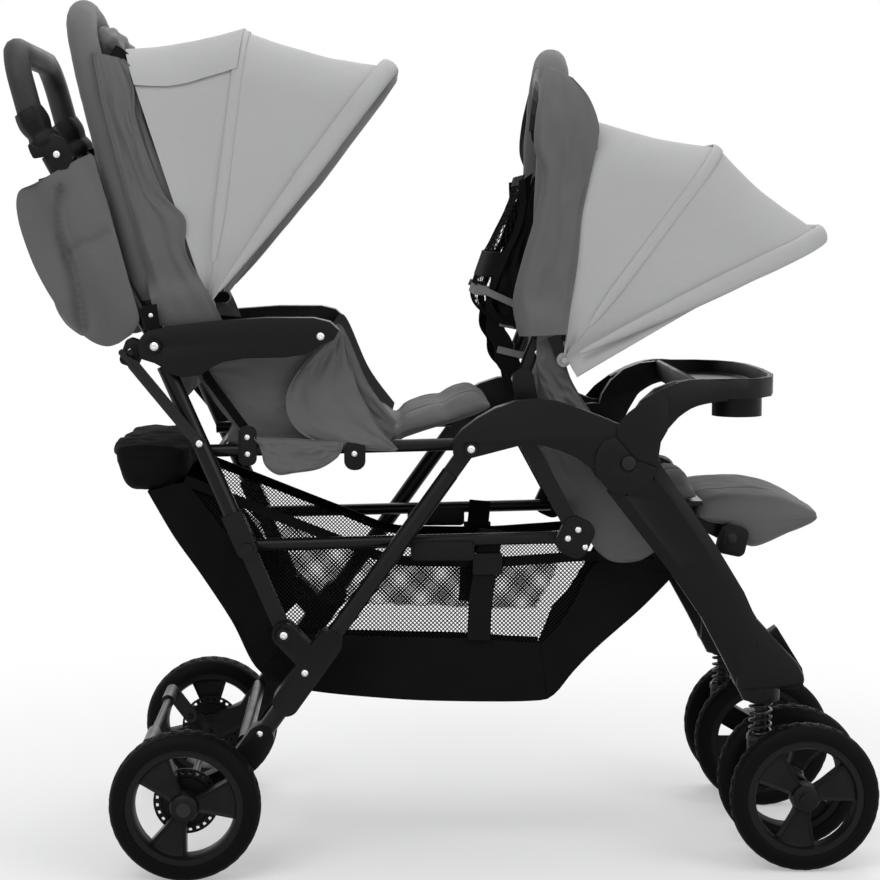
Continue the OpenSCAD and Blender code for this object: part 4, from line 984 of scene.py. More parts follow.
@dataclass
class Wheels:
    """Six wheels: a tyre with a shallow tread, and a moulded wheel with three broad spokes."""

    tyre_profile: Edge = (
        (0.074, -1.0), (0.081, -1.0), (0.0885, -0.9), (0.0928, -0.66), (0.0945, -0.34), (0.095, 0.0),
        (0.0945, 0.34), (0.0928, 0.66), (0.0885, 0.9), (0.081, 1.0), (0.074, 1.0), (0.0725, 0.5),
        (0.0725, -0.5),
    )
    ring_profile: Edge = (
        (0.0655, -0.96), (0.0745, -0.96), (0.0745, 0.96), (0.0655, 0.96), (0.063, 0.6), (0.062, 0.0),
        (0.063, -0.6),
    )
    hub_profile: Edge = (
        (0.0045, -1.0), (0.012, -1.0), (0.0165, -0.86), (0.0185, -0.5), (0.0185, 0.5), (0.0165, 0.86),
        (0.012, 1.0), (0.0045, 1.0),
    )
    cap_profile: Edge = (
        (0.0, -1.1), (0.006, -1.08), (0.0095, -1.0), (0.0095, -0.8), (0.0, -0.8),
    )
    steps: int = 72
    spokes: int = 3
    spoke_edge: Edge = (
        (0.012, 0.009), (0.025, 0.0118), (0.041, 0.0176), (0.055, 0.0228), (0.0645, 0.0268),
    )
    turns: tuple[tuple[str, float], ...] = (
        ("rear_right", 9), ("rear_left", 93), ("front_right_outer", 19), ("front_right_inner", 62),
        ("front_left_outer", 35), ("front_left_inner", 80),
    )
    ring_share: float = 0.9
    spoke_share: float = 0.62
    spoke_lip: Point = (0.004, 0.003)
    tread: Point = (0.0007, 0.0009)
    brake_share: float = 0.93
    brake_rings: tuple[Point, Point] = ((0.03, 0.035), (0.0385, 0.0415))
    brake_web: Point = (0.016, 0.031)
    brake_half: float = 0.0013
    brake_teeth: int = 24
    brake_rib: Triple = (0.005, 0.0024, 0.0055)

    def build(self) -> None:
        """Makes each wheel where its node stands."""
        for side in SIDES:
            self._wheel(f"rear_{side}", f"rear_wheel_{side}", f"rear_tyre_{side}", f"rear_rim_{side}")
            for place in ("outer", "inner"):
                self._wheel(f"front_{side}_{place}", f"wheel_{side}_{place}", f"front_wheel_{side}_{place}")

    def _wheel(self, name: str, body: str, *nodes: str) -> None:
        """Makes one wheel.

        Args:
            name: The wheel's place in words.
            body: The body that turns with it.
            *nodes: The CAD nodes that it stands for.
        """
        low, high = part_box(nodes[0])
        half = (high.y - low.y) / 2
        place = Matrix.Translation((low + high) / 2)
        tyre = self._tread(self._spin(f"{name}_tyre", self.tyre_profile, half))
        ring = self._spin(f"{name}_ring", self.ring_profile, half * self.ring_share)
        hub = self._spin(f"{name}_hub", self.hub_profile, half)
        caps = [self._spin(f"{name}_cap_{side}", self.cap_profile, half * -sign)
                for side, sign in SIDES.items()]
        turned = dict(self.turns)[name]
        spokes = [self._spoke(f"{name}_spoke_{i}", half, turned + 360 / self.spokes * i)
                  for i in range(self.spokes)]
        inside = -1 if low.y > 0 else 1
        brake = self._brake(name, half * self.brake_share * inside) if name.startswith("rear") else []
        wheel = join(f"{name}_wheel", [ring, hub, *caps, *spokes, *brake])
        for piece in (tyre, wheel):
            piece.data.transform(place)
            smooth(piece, 40)
        dress(tyre, RUBBER, body, *nodes[:1])
        dress(wheel, PLASTIC, body, *nodes[1:])

    def _spin(self, name: str, profile: Sequence[Point], half: float) -> Piece:
        """Turns a profile round the wheel's axle.

        Args:
            name: The piece's name.
            profile: Places as a radius and a share of half the width.
            half: Half the wheel's width.

        Returns:
            The turned piece.
        """
        points = [Vector((r, share * half, 0)) for r, share in profile]
        piece = mesh_piece(name, points, [])
        with editing(piece, "VERT") as mesh:
            mesh.verts.ensure_lookup_table()
            count = len(mesh.verts)
            for i in range(count if profile[0][0] else count - 1):
                mesh.edges.new((mesh.verts[i], mesh.verts[(i + 1) % count]))
            bmesh.update_edit_mesh(piece.data)
            bpy.ops.mesh.select_all(action="SELECT")
            bpy.ops.mesh.spin(steps=self.steps, angle=math.tau, center=(0, 0, 0), axis=(0, 1, 0))
        return face_outwards(piece)

    def _tread(self, tyre: Piece) -> Piece:
        """Cuts shallow tread blocks into a tyre's crown.

        Args:
            tyre: The plain tyre.

        Returns:
            The same piece.
        """
        crown = max(r for r, _ in self.tyre_profile)
        with editing(tyre) as mesh:
            chosen = []
            for face in mesh.faces:
                middle = face.calc_center_median()
                radius = math.hypot(middle.x, middle.z)
                turn = round(math.degrees(math.atan2(middle.z, middle.x)) / (360 / self.steps) - 0.5)
                if radius > crown * 0.955 and (turn + (1 if middle.y > 0 else 0)) % 2:
                    chosen.append(face)
            choose(tyre, chosen)
            bpy.ops.mesh.inset(thickness=self.tread[0], depth=-self.tread[1], use_individual=True)
        return modify(tyre, "BEVEL", width=0.0004, segments=1, limit_method="ANGLE",
                      angle_limit=math.radians(40))

    def _brake(self, name: str, across: float) -> list[Piece]:
        """Makes the slotted brake ring at a rear wheel's inner side.

        Args:
            name: The wheel's place in words.
            across: How far along the axle it lies.

        Returns:
            The rings, the ribs between them and the web to the hub.
        """
        move = Matrix.Translation((0, across, 0))
        pieces = []
        for i, (inner, outer) in enumerate((*self.brake_rings, self.brake_web)):
            profile = ((inner, -1.0), (outer, -1.0), (outer, 1.0), (inner, 1.0))
            pieces.append(self._spin(f"{name}_brake_{i}", profile, self.brake_half))
        middle = (self.brake_rings[0][1] + self.brake_rings[1][0]) / 2
        for i, turn in enumerate(steps_round(self.brake_teeth)):
            rib = block(f"{name}_brake_rib_{i}", (middle, 0, 0), self.brake_rib)
            rib.data.transform(Matrix.Rotation(turn, 4, "Y"))
            pieces.append(rib)
        for piece in pieces:
            piece.data.transform(move)
        return pieces

    def _spoke(self, name: str, half: float, turned: float) -> Piece:
        """Makes one broad spoke with a recessed face.

        Args:
            name: The piece's name.
            half: Half the wheel's width.
            turned: How far round the wheel it is, in degrees.

        Returns:
            The spoke.
        """
        upper = smooth_line(self.spoke_edge, 9)
        outline = [Vector((p.x, -p.y)) for p in upper] + [Vector((p.x, p.y)) for p in reversed(upper)]
        thick = half * self.spoke_share
        rings = [[Vector((p.x, y, p.y)) for p in outline] for y in (-thick, thick)]
        piece = loft(name, rings)
        with editing(piece) as mesh:
            choose(piece, [f for f in mesh.faces if abs(f.normal.y) > 0.9])
            bpy.ops.mesh.inset(thickness=self.spoke_lip[0], depth=-self.spoke_lip[1], use_even_offset=True)
        soften(piece, 0.0014)
        piece.data.transform(Matrix.Rotation(-math.radians(turned), 4, "Y"))
        return piece


def cut_arch(half: float, corner: float, low: float, high: float, count: int) -> list[Point]:
    """Draws half of a square arch with round corners, doubled about its middle.

    Args:
        half: Half the arch's width.
        corner: The radius of its corners.
        low: Where its legs start.
        high: How far it reaches.
        count: How many points to return.

    Returns:
        Places as a distance across and a distance along.
    """
    line = [Vector((-half, low))]
    for i in range(13):
        turn = math.pi - math.pi / 2 * i / 12
        across, along = corner - half + corner * math.cos(turn), high - corner + corner * math.sin(turn)
        line.append(Vector((across, along)))
    line += [Vector((-p.x, p.y)) for p in reversed(line)]
    return [(p.x, p.y) for p in even(line, count)]


def oval_bar(
    name: str, path: Sequence[Vector], across: Vector, wide: Share, tall: Share, sides: int = 16
) -> Piece:
    """Sweeps an oval of changing size along a path.

    Args:
        name: The piece's name.
        path: The middle line.
        across: The way that the oval's first half width lies.
        wide: The first half width from the share along the path.
        tall: The second half width.
        sides: How many faces go round it.

    Returns:
        The bar.
    """
    rings = []
    for i, (point, side, up) in enumerate(cross_frames(path, across)):
        share = i / (len(path) - 1)
        rings.append([point + side * wide(share) * math.cos(turn) + up * tall(share) * math.sin(turn)
                      for turn in steps_round(sides)])
    return smooth(loft(name, rings), 60)


@dataclass
class Canopy:
    """A canopy: two stretched panels, a pocket over the rib and a rolled front edge."""

    name: str
    pivot: Point
    angles: Triple
    reach: float
    shares: Triple
    bodies: tuple[str, str, str]
    has_flap: bool = False
    half: float = 0.1605
    bow_half: float = 0.167
    corner: float = 0.062
    low_share: float = 0.014
    hem_drop: float = 0.0
    sag: float = 0.006
    cloth: float = 0.0018
    creases: Creases = ((16, 0.0022, 0.0), (45, 0.0007, 3.0))
    pocket: Point = (0.0075, 0.0026)
    pocket_over: float = 0.0006
    pocket_low: float = 0.16
    roll: Point = (0.0125, 0.0068)
    roll_over: float = 0.0045
    roll_low: float = 0.06
    roll_creases: Creases = ((30, 0.0009, 2.0),)
    panel_over: float = 0.003
    flap_edge: float = 0.3
    flap_lift: float = 0.0045
    flap_wave: float = 0.006
    flap_out: float = 0.0028
    flap_rise: float = 0.008
    columns: int = 120
    rows: int = 18

    def build(self) -> None:
        """Makes the panels, the flap, the pocket and the rolled edge."""
        halves = (self.half, self.half, self.bow_half + self.panel_over)
        arches = [self._arch(a, self.reach * s, half) for a, s, half in zip(self.angles, self.shares, halves)]
        arches[2] = [self._hem(place) for place in arches[2]]
        for i, part in enumerate(("rear", "front")):
            panel = self._panel(f"{self.name}_canopy_{part}", arches[i], arches[i + 1], 0.0)
            self._hang(panel)
        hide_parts(f"{self.name}_canopy")
        if self.has_flap:
            self._hang(self._flap(arches[0], arches[1]))
        self._pocket()
        self._roll()

    def _point(self, angle: float, across: float, along: float) -> Vector:
        """Returns the place at an angle from the pivot."""
        turn = math.radians(angle)
        x, z = self.pivot[0] + along * math.cos(turn), self.pivot[1] + along * math.sin(turn)
        return Vector((x, across, z))

    def _hem(self, place: Vector) -> Vector:
        """Returns a place of the front arch let down towards the pivot."""
        turn = math.radians(self.angles[2])
        off = place - Vector((self.pivot[0], place.y, self.pivot[1]))
        share = max(0.0, 1 - off.length / self.reach) ** 1.2
        return place + Vector((math.sin(turn), 0, -math.cos(turn))) * self.hem_drop * share

    def _arch(self, angle: float, reach: float, half: float, low: float = 0.0) -> list[Vector]:
        """Returns the points of one arch from the near end to the far end."""
        cut = cut_arch(half, self.corner, reach * (low or self.low_share), reach, self.columns)
        return [self._point(angle, y, s) for y, s in cut]

    def _panel(self, name: str, first: list[Vector], last: list[Vector], lift: float) -> Piece:
        """Stretches cloth between two arches, with a little sag and a few soft creases.

        Args:
            name: The piece's name.
            first: The points of the first arch.
            last: The points of the last arch.
            lift: How far the cloth stands off.

        Returns:
            The cloth with its thickness.
        """
        points = []
        centre = Vector((self.pivot[0], 0, self.pivot[1]))
        for i in range(self.rows):
            t = i / (self.rows - 1)
            for a, b in zip(first, last):
                place = a.lerp(b, t)
                out = (place - centre).normalized()
                crease = creased(place, self.creases)
                points.append(place + out * (lift + math.sin(math.pi * t) * (crease - self.sag)))
        piece = face_outwards(mesh_piece(name, points, grid_faces(self.rows, len(first))))
        return smooth(modify(piece, "SOLIDIFY", thickness=self.cloth, offset=0.0), 60)

    def _flap(self, first: list[Vector], last: list[Vector]) -> Piece:
        """Makes the loose layer over the top of the rear panel, with a wavy hem.

        Args:
            first: The points of the first arch.
            last: The points of the last arch.

        Returns:
            The layer with its thickness.
        """
        edge = round(self.columns * self.flap_edge)
        span = slice(edge, self.columns - edge)
        piece = self._panel(f"{self.name}_canopy_flap", first[span], last[span], self.flap_lift)
        top = max(p.z for p in first[span] + last[span])
        for vertex in piece.data.vertices:
            hem = max(0.0, (abs(vertex.co.y) - self.half + self.corner * 0.4) / self.corner)
            wave = math.sin(vertex.co.x * 42) * self.flap_wave + ripple(vertex.co, 22, 5.0) * self.flap_wave
            vertex.co.z += hem * wave
            vertex.co.y += math.copysign(self.flap_out, vertex.co.y) * hem
            vertex.co.z = min(vertex.co.z, top + self.flap_rise)
        piece.data.update()
        return piece

    def _hang(self, panel: Piece) -> None:
        """Gives a panel its finish and keeps its place in its mesh.

        Args:
            panel: The cloth.
        """
        coat(panel, LIGHT_CLOTH)
        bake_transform(panel)

    def _bar(self, name: str, index: int, path: list[Vector], size: Point, fullness: Share) -> Piece:
        """Sweeps an oval bar along one arch.

        Args:
            name: The piece's name.
            index: Which arch it follows.
            path: Its middle line.
            size: Its two half widths.
            fullness: Its share of them along the path.

        Returns:
            The bar.
        """
        turn = math.radians(self.angles[index])
        across = Vector((-math.sin(turn), 0, math.cos(turn)))
        return oval_bar(name, path, across, lambda t: size[0] * fullness(t), lambda t: size[1] * fullness(t))

    def _pocket(self) -> None:
        """Makes the sewn pocket that holds the rib, flat at its ends."""
        reach = self.reach * self.shares[1] + self.pocket_over
        path = self._arch(self.angles[1], reach, self.half + self.pocket_over, self.pocket_low)
        bar = self._bar(f"{self.name}_rib_pocket", 1, path, self.pocket, tapered(0.25, 0.07, 0.6))
        dress(bar, LIGHT_CLOTH, self.bodies[1])

    def _roll(self) -> None:
        """Makes the padded roll round the front bow, thinner at its ends."""
        path = self._arch(self.angles[2], self.reach, self.bow_half + self.roll_over, self.roll_low)
        bar = self._bar(f"{self.name}_canopy_roll", 2, path, self.roll, tapered(0.14, 0.18, 0.7))
        press(bar, lambda place, normal: creased(place, self.roll_creases))
        dress(bar, LIGHT_CLOTH, self.bodies[2], f"{self.name}_canopy_bow")


REAR_COVER: tuple[Edge, Edge] = (
    ((-0.441, 1.03), (-0.43, 0.975), (-0.421, 0.935), (-0.412, 0.9), (-0.4, 0.85), (-0.387, 0.8),
     (-0.376, 0.752), (-0.367, 0.716), (-0.362, 0.69)),
    ((-0.405, 1.022), (-0.388, 0.985), (-0.386, 0.95), (-0.3727, 0.906), (-0.352, 0.854), (-0.326, 0.824),
     (-0.326, 0.79), (-0.319, 0.768), (-0.292, 0.722), (-0.276, 0.686)),
)
REAR_LINING: tuple[Edge, Edge] = (
    ((-0.428, 1.0), (-0.415, 0.95), (-0.402, 0.9), (-0.39, 0.85), (-0.378, 0.8), (-0.366, 0.752),
     (-0.357, 0.716), (-0.35, 0.69)),
    ((-0.402, 1.022), (-0.384, 1.0), (-0.38, 0.958), (-0.362, 0.906), (-0.336, 0.85), (-0.313, 0.822),
     (-0.315, 0.78), (-0.3, 0.72), (-0.281, 0.688)),
)
FRONT_COVER: tuple[Edge, Edge] = (
    ((0.128, 1.018), (0.121, 0.987), (0.114, 0.95), (0.112, 0.912), (0.122, 0.875), (0.112, 0.822),
     (0.098, 0.774), (0.087, 0.731), (0.086, 0.707), (0.093, 0.675)),
    ((0.162, 1.0), (0.181, 0.975), (0.1925, 0.94), (0.1895, 0.912), (0.177, 0.854), (0.171, 0.822),
     (0.1665, 0.769), (0.1585, 0.715), (0.152, 0.678)),
)
FRONT_LINING: tuple[Edge, Edge] = (
    ((0.138, 0.985), (0.136, 0.94), (0.132, 0.89), (0.129, 0.831), (0.126, 0.771), (0.123, 0.711),
     (0.116, 0.669)),
    ((0.176, 0.985), (0.192, 0.945), (0.19, 0.9), (0.181, 0.845), (0.173, 0.766), (0.164, 0.72),
     (0.156, 0.682)),
)
FRONT_APRON: tuple[Edge, Edge] = (
    ((0.118, 0.69), (0.116, 0.66), (0.118, 0.63), (0.126, 0.606), (0.14, 0.583)),
    ((0.152, 0.69), (0.15, 0.66), (0.157, 0.628), (0.17, 0.602), (0.186, 0.578)),
)


@dataclass
class Backrest:
    """A backrest: the padded hoop, the back cushion, and two layers of gathered cloth at each side."""

    name: str
    knee: Point
    angle: float
    reach: float
    near_edges: tuple[Edge, Edge]
    deep_edges: tuple[Edge, Edge]
    pleat_seed: float
    hoop_half: float = 0.136
    hoop_r: float = 0.0192
    corner: float = 0.122
    near_out: float = 0.1672
    deep_out: float = 0.163
    deep_turn: float = 0.006
    apron_out: float = 0.1485
    apron_turn: float = 0.001
    thick: float = 0.0024
    pleat: float = 0.0042
    hoop_low: float = 0.012
    sleeve_creases: Creases = ((28, 0.0012, 0.0), (70, 0.0004, 0.0))
    channels: tuple[float, ...] = (0.22, 0.44, 0.66)
    channel_y: float = 0.072
    wing_y: float = 0.117
    seam_depth: float = 0.005
    hem: Point = (0.07, 0.0012)
    roll_half: float = 0.104
    roll_place: Point = (0.34, 0.026)
    roll_size: Point = (0.019, 0.017)
    roll_steps: tuple[int, int] = (46, 30)
    roll_creases: Creases = ((34, 0.003, 6.0),)
    tie: tuple[Triple, ...] = ((-0.418, 0.112, 1.034), (-0.404, 0.13, 1.024), (-0.384, 0.136, 1.004))
    hinge: Point = (0.0, 0.0)
    hug: float = 0.011
    hinge_out: float = 0.1754
    hinge_r: float = 0.03
    apron: tuple[Edge, Edge] | None = None
    crown: float = 0.0
    slim: float = 0.0
    has_roll: bool = False

    def build(self) -> None:
        """Makes the sleeve, the cushion, the side cloth and the roll under the hoop's top."""
        self.body = f"{self.name}_backrest"
        paint(f"{self.name}_hoop", TUBE)
        self._sleeve()
        self._cushion()
        for side, sign in SIDES.items():
            self._cover(f"{self.name}_back_side_{side}", self.near_edges, sign, self.near_out, 0.0)
            lining_name = f"{self.name}_back_lining_{side}"
            self._cover(lining_name, self.deep_edges, sign, self.deep_out, self.deep_turn)
            if self.apron:
                apron_name = f"{self.name}_back_apron_{side}"
                self._cover(apron_name, self.apron, sign, self.apron_out, self.apron_turn)
        if self.has_roll:
            self._rolled_cloth()

    def _place(self, across: float, along: float, ahead: float = 0.0) -> Vector:
        """Returns a place on the backrest, from its knee along the hoop and ahead of it."""
        turn = math.radians(self.angle)
        return Vector((self.knee[0] + along * math.cos(turn) + ahead * math.sin(turn), across,
                       self.knee[1] + along * math.sin(turn) - ahead * math.cos(turn)))

    def _arch_in(self, place: Vector, out: float) -> float:
        """Returns how far a layer that stands off the hoop has come in at a place's height."""
        turn = math.radians(self.angle)
        along = (place - Vector(self.knee)).dot(Vector((math.cos(turn), math.sin(turn))))
        bend = self.corner + out - self.hoop_half
        rise = min(max(along - self.reach - self.crown + self.corner, 0.0), bend * 0.97)
        return bend - math.sqrt(bend**2 - rise**2)

    def _off_hinge(self, place: Vector) -> float:
        """Returns how far a place is from the line between the canopy's hinge and the hoop's knee."""
        start, line = Vector(self.hinge), Vector(self.knee) - Vector(self.hinge)
        share = clamp((place - start).dot(line) / line.length_squared)
        return (place - start - line * share).length

    def _sleeve(self) -> None:
        """Makes the padded sleeve over the hoop, with its seam and a few creases."""
        cut = cut_arch(self.hoop_half, self.corner, self.hoop_low, self.reach + self.crown, 150)
        path = [self._place(y, s) for y, s in cut]
        ahead = self._place(0, 0, 1.0) - self._place(0, 0)
        sleeve = oval_bar(f"{self.name}_hoop_sleeve", path, ahead, lambda t: self.hoop_r,
                          lambda t: self.hoop_r, 24)
        press(sleeve, lambda place, normal: creased(place, self.sleeve_creases, self.pleat_seed)
              - groove(normal.dot(ahead) - 0.1, 0.07) * 0.0008)
        dress(sleeve, DARK_CLOTH, self.body)

    def _cushion(self) -> None:
        """Fills the back cushion with its wings, and sews channels across it."""
        node = f"{self.name}_back_pad"
        low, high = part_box(node)
        pad = inflate(node_copy(node, f"{self.name}_back_cushion"), 0.002, 0.007)
        length = high.z - low.z
        lines = [low.z + length * share for share in self.channels]

        def depth(place: Vector, normal: Vector) -> float:
            """Returns how far the cushion's skin moves at a place."""
            inner = 1.0 if abs(place.y) < self.wing_y else 0.0
            seams = sum(groove(place.z - line, 0.006) for line in lines) * inner
            sides = groove(abs(place.y) - self.channel_y, 0.0035) * inner
            folds = ripple(place, 26, self.pleat_seed) * 0.0026 * (1 - inner)
            folds -= self.slim * max(0.0, -normal.x)
            return folds - self.seam_depth * max(seams, sides) + ripple(place, 18, 4.0) * 0.0015

        press(pad, depth)
        dress(smooth(pad, 80), DARK_CLOTH, self.body, node)

    def _cover(self, name: str, edges: tuple[Edge, Edge], sign: int, out: float, turn: float) -> None:
        """Makes one layer of the gathered cloth beside the cushion.

        Args:
            name: The piece's name.
            edges: Its rear and front edges.
            sign: -1 for the near side and 1 for the far side.
            out: How far its face stands from the middle.
            turn: How far its front edge turns inwards.
        """
        seed = self.pleat_seed + out * 40

        def outer(u: float, v: float, place: Vector) -> float:
            """Returns how far out the gathered cloth stands."""
            rim = min(1.0, 12 * min(u, 1 - u)) * min(1.0, 20 * min(v, 1 - v))
            drift = ripple(Vector((u * 1.5, v * 2.0, sign)), 2.2, seed)
            fold = math.sin(math.tau * (u * 1.9 + 0.5 * drift + 0.25 * math.sin(v * 5)))
            crumple = ripple(Vector((u * 0.5, v, sign * 0.3)), 9, seed + 2)
            hem = groove(1 - u - self.hem[0], 0.02) * self.hem[1]
            over = math.exp(-((self._off_hinge(place) / self.hinge_r) ** 4))
            rise = 0.0
            if not turn:
                rise = max(0.0, self.hinge_out - out) * over
                rise -= self.hug * max(0.0, 1 - u / 0.2) ** 2 * (1 - over)
            pleats = self.pleat * (0.5 - 0.5 * fold) * rim * (1 - over)
            return (out + rise - self._arch_in(place, out) - pleats + crumple * 0.0026 * rim
                    - 0.003 * (1 - rim) * (1 - over) - hem - turn * max(0.0, u - 0.45) ** 1.5 * 2)

        panel = flat_panel(name, *edges, sign, outer, lining(outer, self.thick), 40, 110)
        dress(panel, DARK_CLOTH, self.body)

    def _rolled_cloth(self) -> None:
        """Makes the cloth that is rolled up under the hoop's top and the straps that tie it to the canopy."""
        rings = []
        for t in steps_across(self.roll_steps[0]):
            size = pillow(t, 8, 0.1)
            ring = []
            for turn in steps_round(self.roll_steps[1]):
                swell = 1 + 0.16 * math.sin(3 * turn + 4 * t) + 0.1 * math.sin(5 * turn - 7 * t)
                along = self.roll_place[0] + self.roll_size[0] * size * swell * math.sin(turn)
                ahead = self.roll_place[1] + self.roll_size[1] * size * swell * math.cos(turn)
                ring.append(self._place(self.roll_half * t, along, ahead))
            rings.append(ring)
        roll = loft(f"{self.name}_rolled_cloth", rings)
        press(roll, lambda place, normal: creased(place, self.roll_creases))
        dress(smooth(roll, 80), DARK_CLOTH, self.body)
        for side, sign in SIDES.items():
            path = smooth_line([(x, sign * y, z) for x, y, z in self.tie], 16)
            tie = strap(f"{self.name}_tie_{side}", path, Vector((0.6, 0, 0.8)), 0.017, 0.003)
            dress(tie, WEBBING, self.body)


@dataclass
class FrontPouch:
    """The net pouch on the front seat's back, with a pale edge."""

    body: str = "front_backrest"
    node: str = "front_back_pouch"
    half: float = 0.1185
    rim: Edge = (
        (0.1, 0.872), (0.088, 0.836), (0.07, 0.8), (0.055, 0.772), (0.046, 0.748), (0.04, 0.722),
        (0.046, 0.706), (0.064, 0.694), (0.092, 0.69),
    )
    thread: float = 0.001
    tapes: tuple[tuple[str, int, float, Finish], ...] = (
        ("top", 0, 0.014, BLACK_CLOTH), ("pocket", 17, 0.034, BLACK_CLOTH), ("belly", 22, 0.013, PALE_TAPE),
        ("low", 33, 0.014, BLACK_CLOTH),
    )
    gusset_rear: Edge = (
        (0.112, 0.874), (0.103, 0.838), (0.093, 0.806), (0.085, 0.776), (0.074, 0.752), (0.068, 0.72),
        (0.072, 0.698),
    )
    gusset_front: Edge = (
        (0.13, 0.886), (0.126, 0.845), (0.117, 0.806), (0.108, 0.77), (0.104, 0.74), (0.102, 0.71),
        (0.104, 0.686),
    )
    loop: Edge = (
        (0.068, 0.702), (0.066, 0.68), (0.076, 0.662), (0.078, 0.642), (0.092, 0.626),
    )
    loop_tapes: tuple[tuple[Point, Point, float], ...] = (
        ((0.071, 0.69), (0.1, 0.684), 0.1135), ((0.068, 0.656), (0.104, 0.647), 0.1135),
        ((0.041, 0.736), (0.094, 0.712), 0.1225),
    )
    loop_out: float = 0.11
    corner_pull: float = 0.022
    rows: int = 34
    columns: int = 44

    def build(self) -> None:
        """Makes the net, its bound edges, the black gussets and the loops under it."""
        line = smooth_line(self.rim, self.rows)
        points = []
        for i, p in enumerate(line):
            v = i / (self.rows - 1)
            for t in steps_across(self.columns):
                y = self.half * t
                pull = self.corner_pull * (abs(y) / self.half)**6 * math.sin(math.pi * v)
                points.append(Vector((p.x + pull + ripple(Vector((p.x, y, p.y)), 30) * 0.002, y, p.y)))
        net = mesh_piece("front_pouch_net", points, diamonds(self.rows, self.columns))
        modify(net, "WIREFRAME", thickness=self.thread, use_replace=True, use_even_offset=False)
        dress(smooth(net, 80), NET_CORD, self.body, self.node)
        for name, row, wide, finish in self.tapes:
            path = points[row * self.columns:(row + 1) * self.columns]
            tape = strap(f"front_pouch_tape_{name}", path, Vector((0.35, 0, 1)), wide, 0.0022)
            dress(tape, finish, self.body)
        for side, sign in SIDES.items():
            path = points[0 if sign < 0 else self.columns - 1::self.columns]
            edge = strap(f"front_pouch_edge_{side}", path, Vector((0.6, sign * 0.3, 0.4)), 0.01, 0.002)
            dress(edge, BLACK_CLOTH, self.body)
            self._gusset(side, sign)

    def _gusset(self, side: str, sign: int) -> None:
        """Makes the black cloth between the net and the seat's back, and the loops that hang under it.

        Args:
            side: right or left.
            sign: -1 for the near side and 1 for the far side.
        """
        def outer(u: float, v: float, place: Vector) -> float:
            """Returns how far out the gusset stands."""
            return self.half + ripple(Vector((u, v * 2, sign)), 4, 2.0) * 0.004

        panel = flat_panel(f"front_pouch_gusset_{side}", self.gusset_rear, self.gusset_front, sign, outer,
                           lining(outer, 0.002), 16, 50)
        dress(panel, BLACK_CLOTH, self.body)
        path = side_line(self.loop, sign * self.loop_out, 30)
        loop = strap(f"front_pouch_loop_{side}", path, Vector((1, 0, 0.3)), 0.024, 0.004)
        dress(loop, BLACK_CLOTH, self.body)
        for i, (start, end, out) in enumerate(self.loop_tapes):
            path = side_line((start, end), sign * out, 8)
            tape = strap(f"front_pouch_loop_tape_{i}_{side}", path, Vector((0.2, 0, 1)), 0.009, 0.002)
            dress(tape, PALE_TAPE, self.body)


def diamonds(rows: int, columns: int) -> list[list[int]]:
    """Returns the faces of a grid's points taken as crossing diamonds."""
    middles = [i * columns + j for i in range(1, rows - 1) for j in range(1, columns - 1) if (i + j) % 2]
    return [[k - columns, k + 1, k + columns, k - 1] for k in middles]


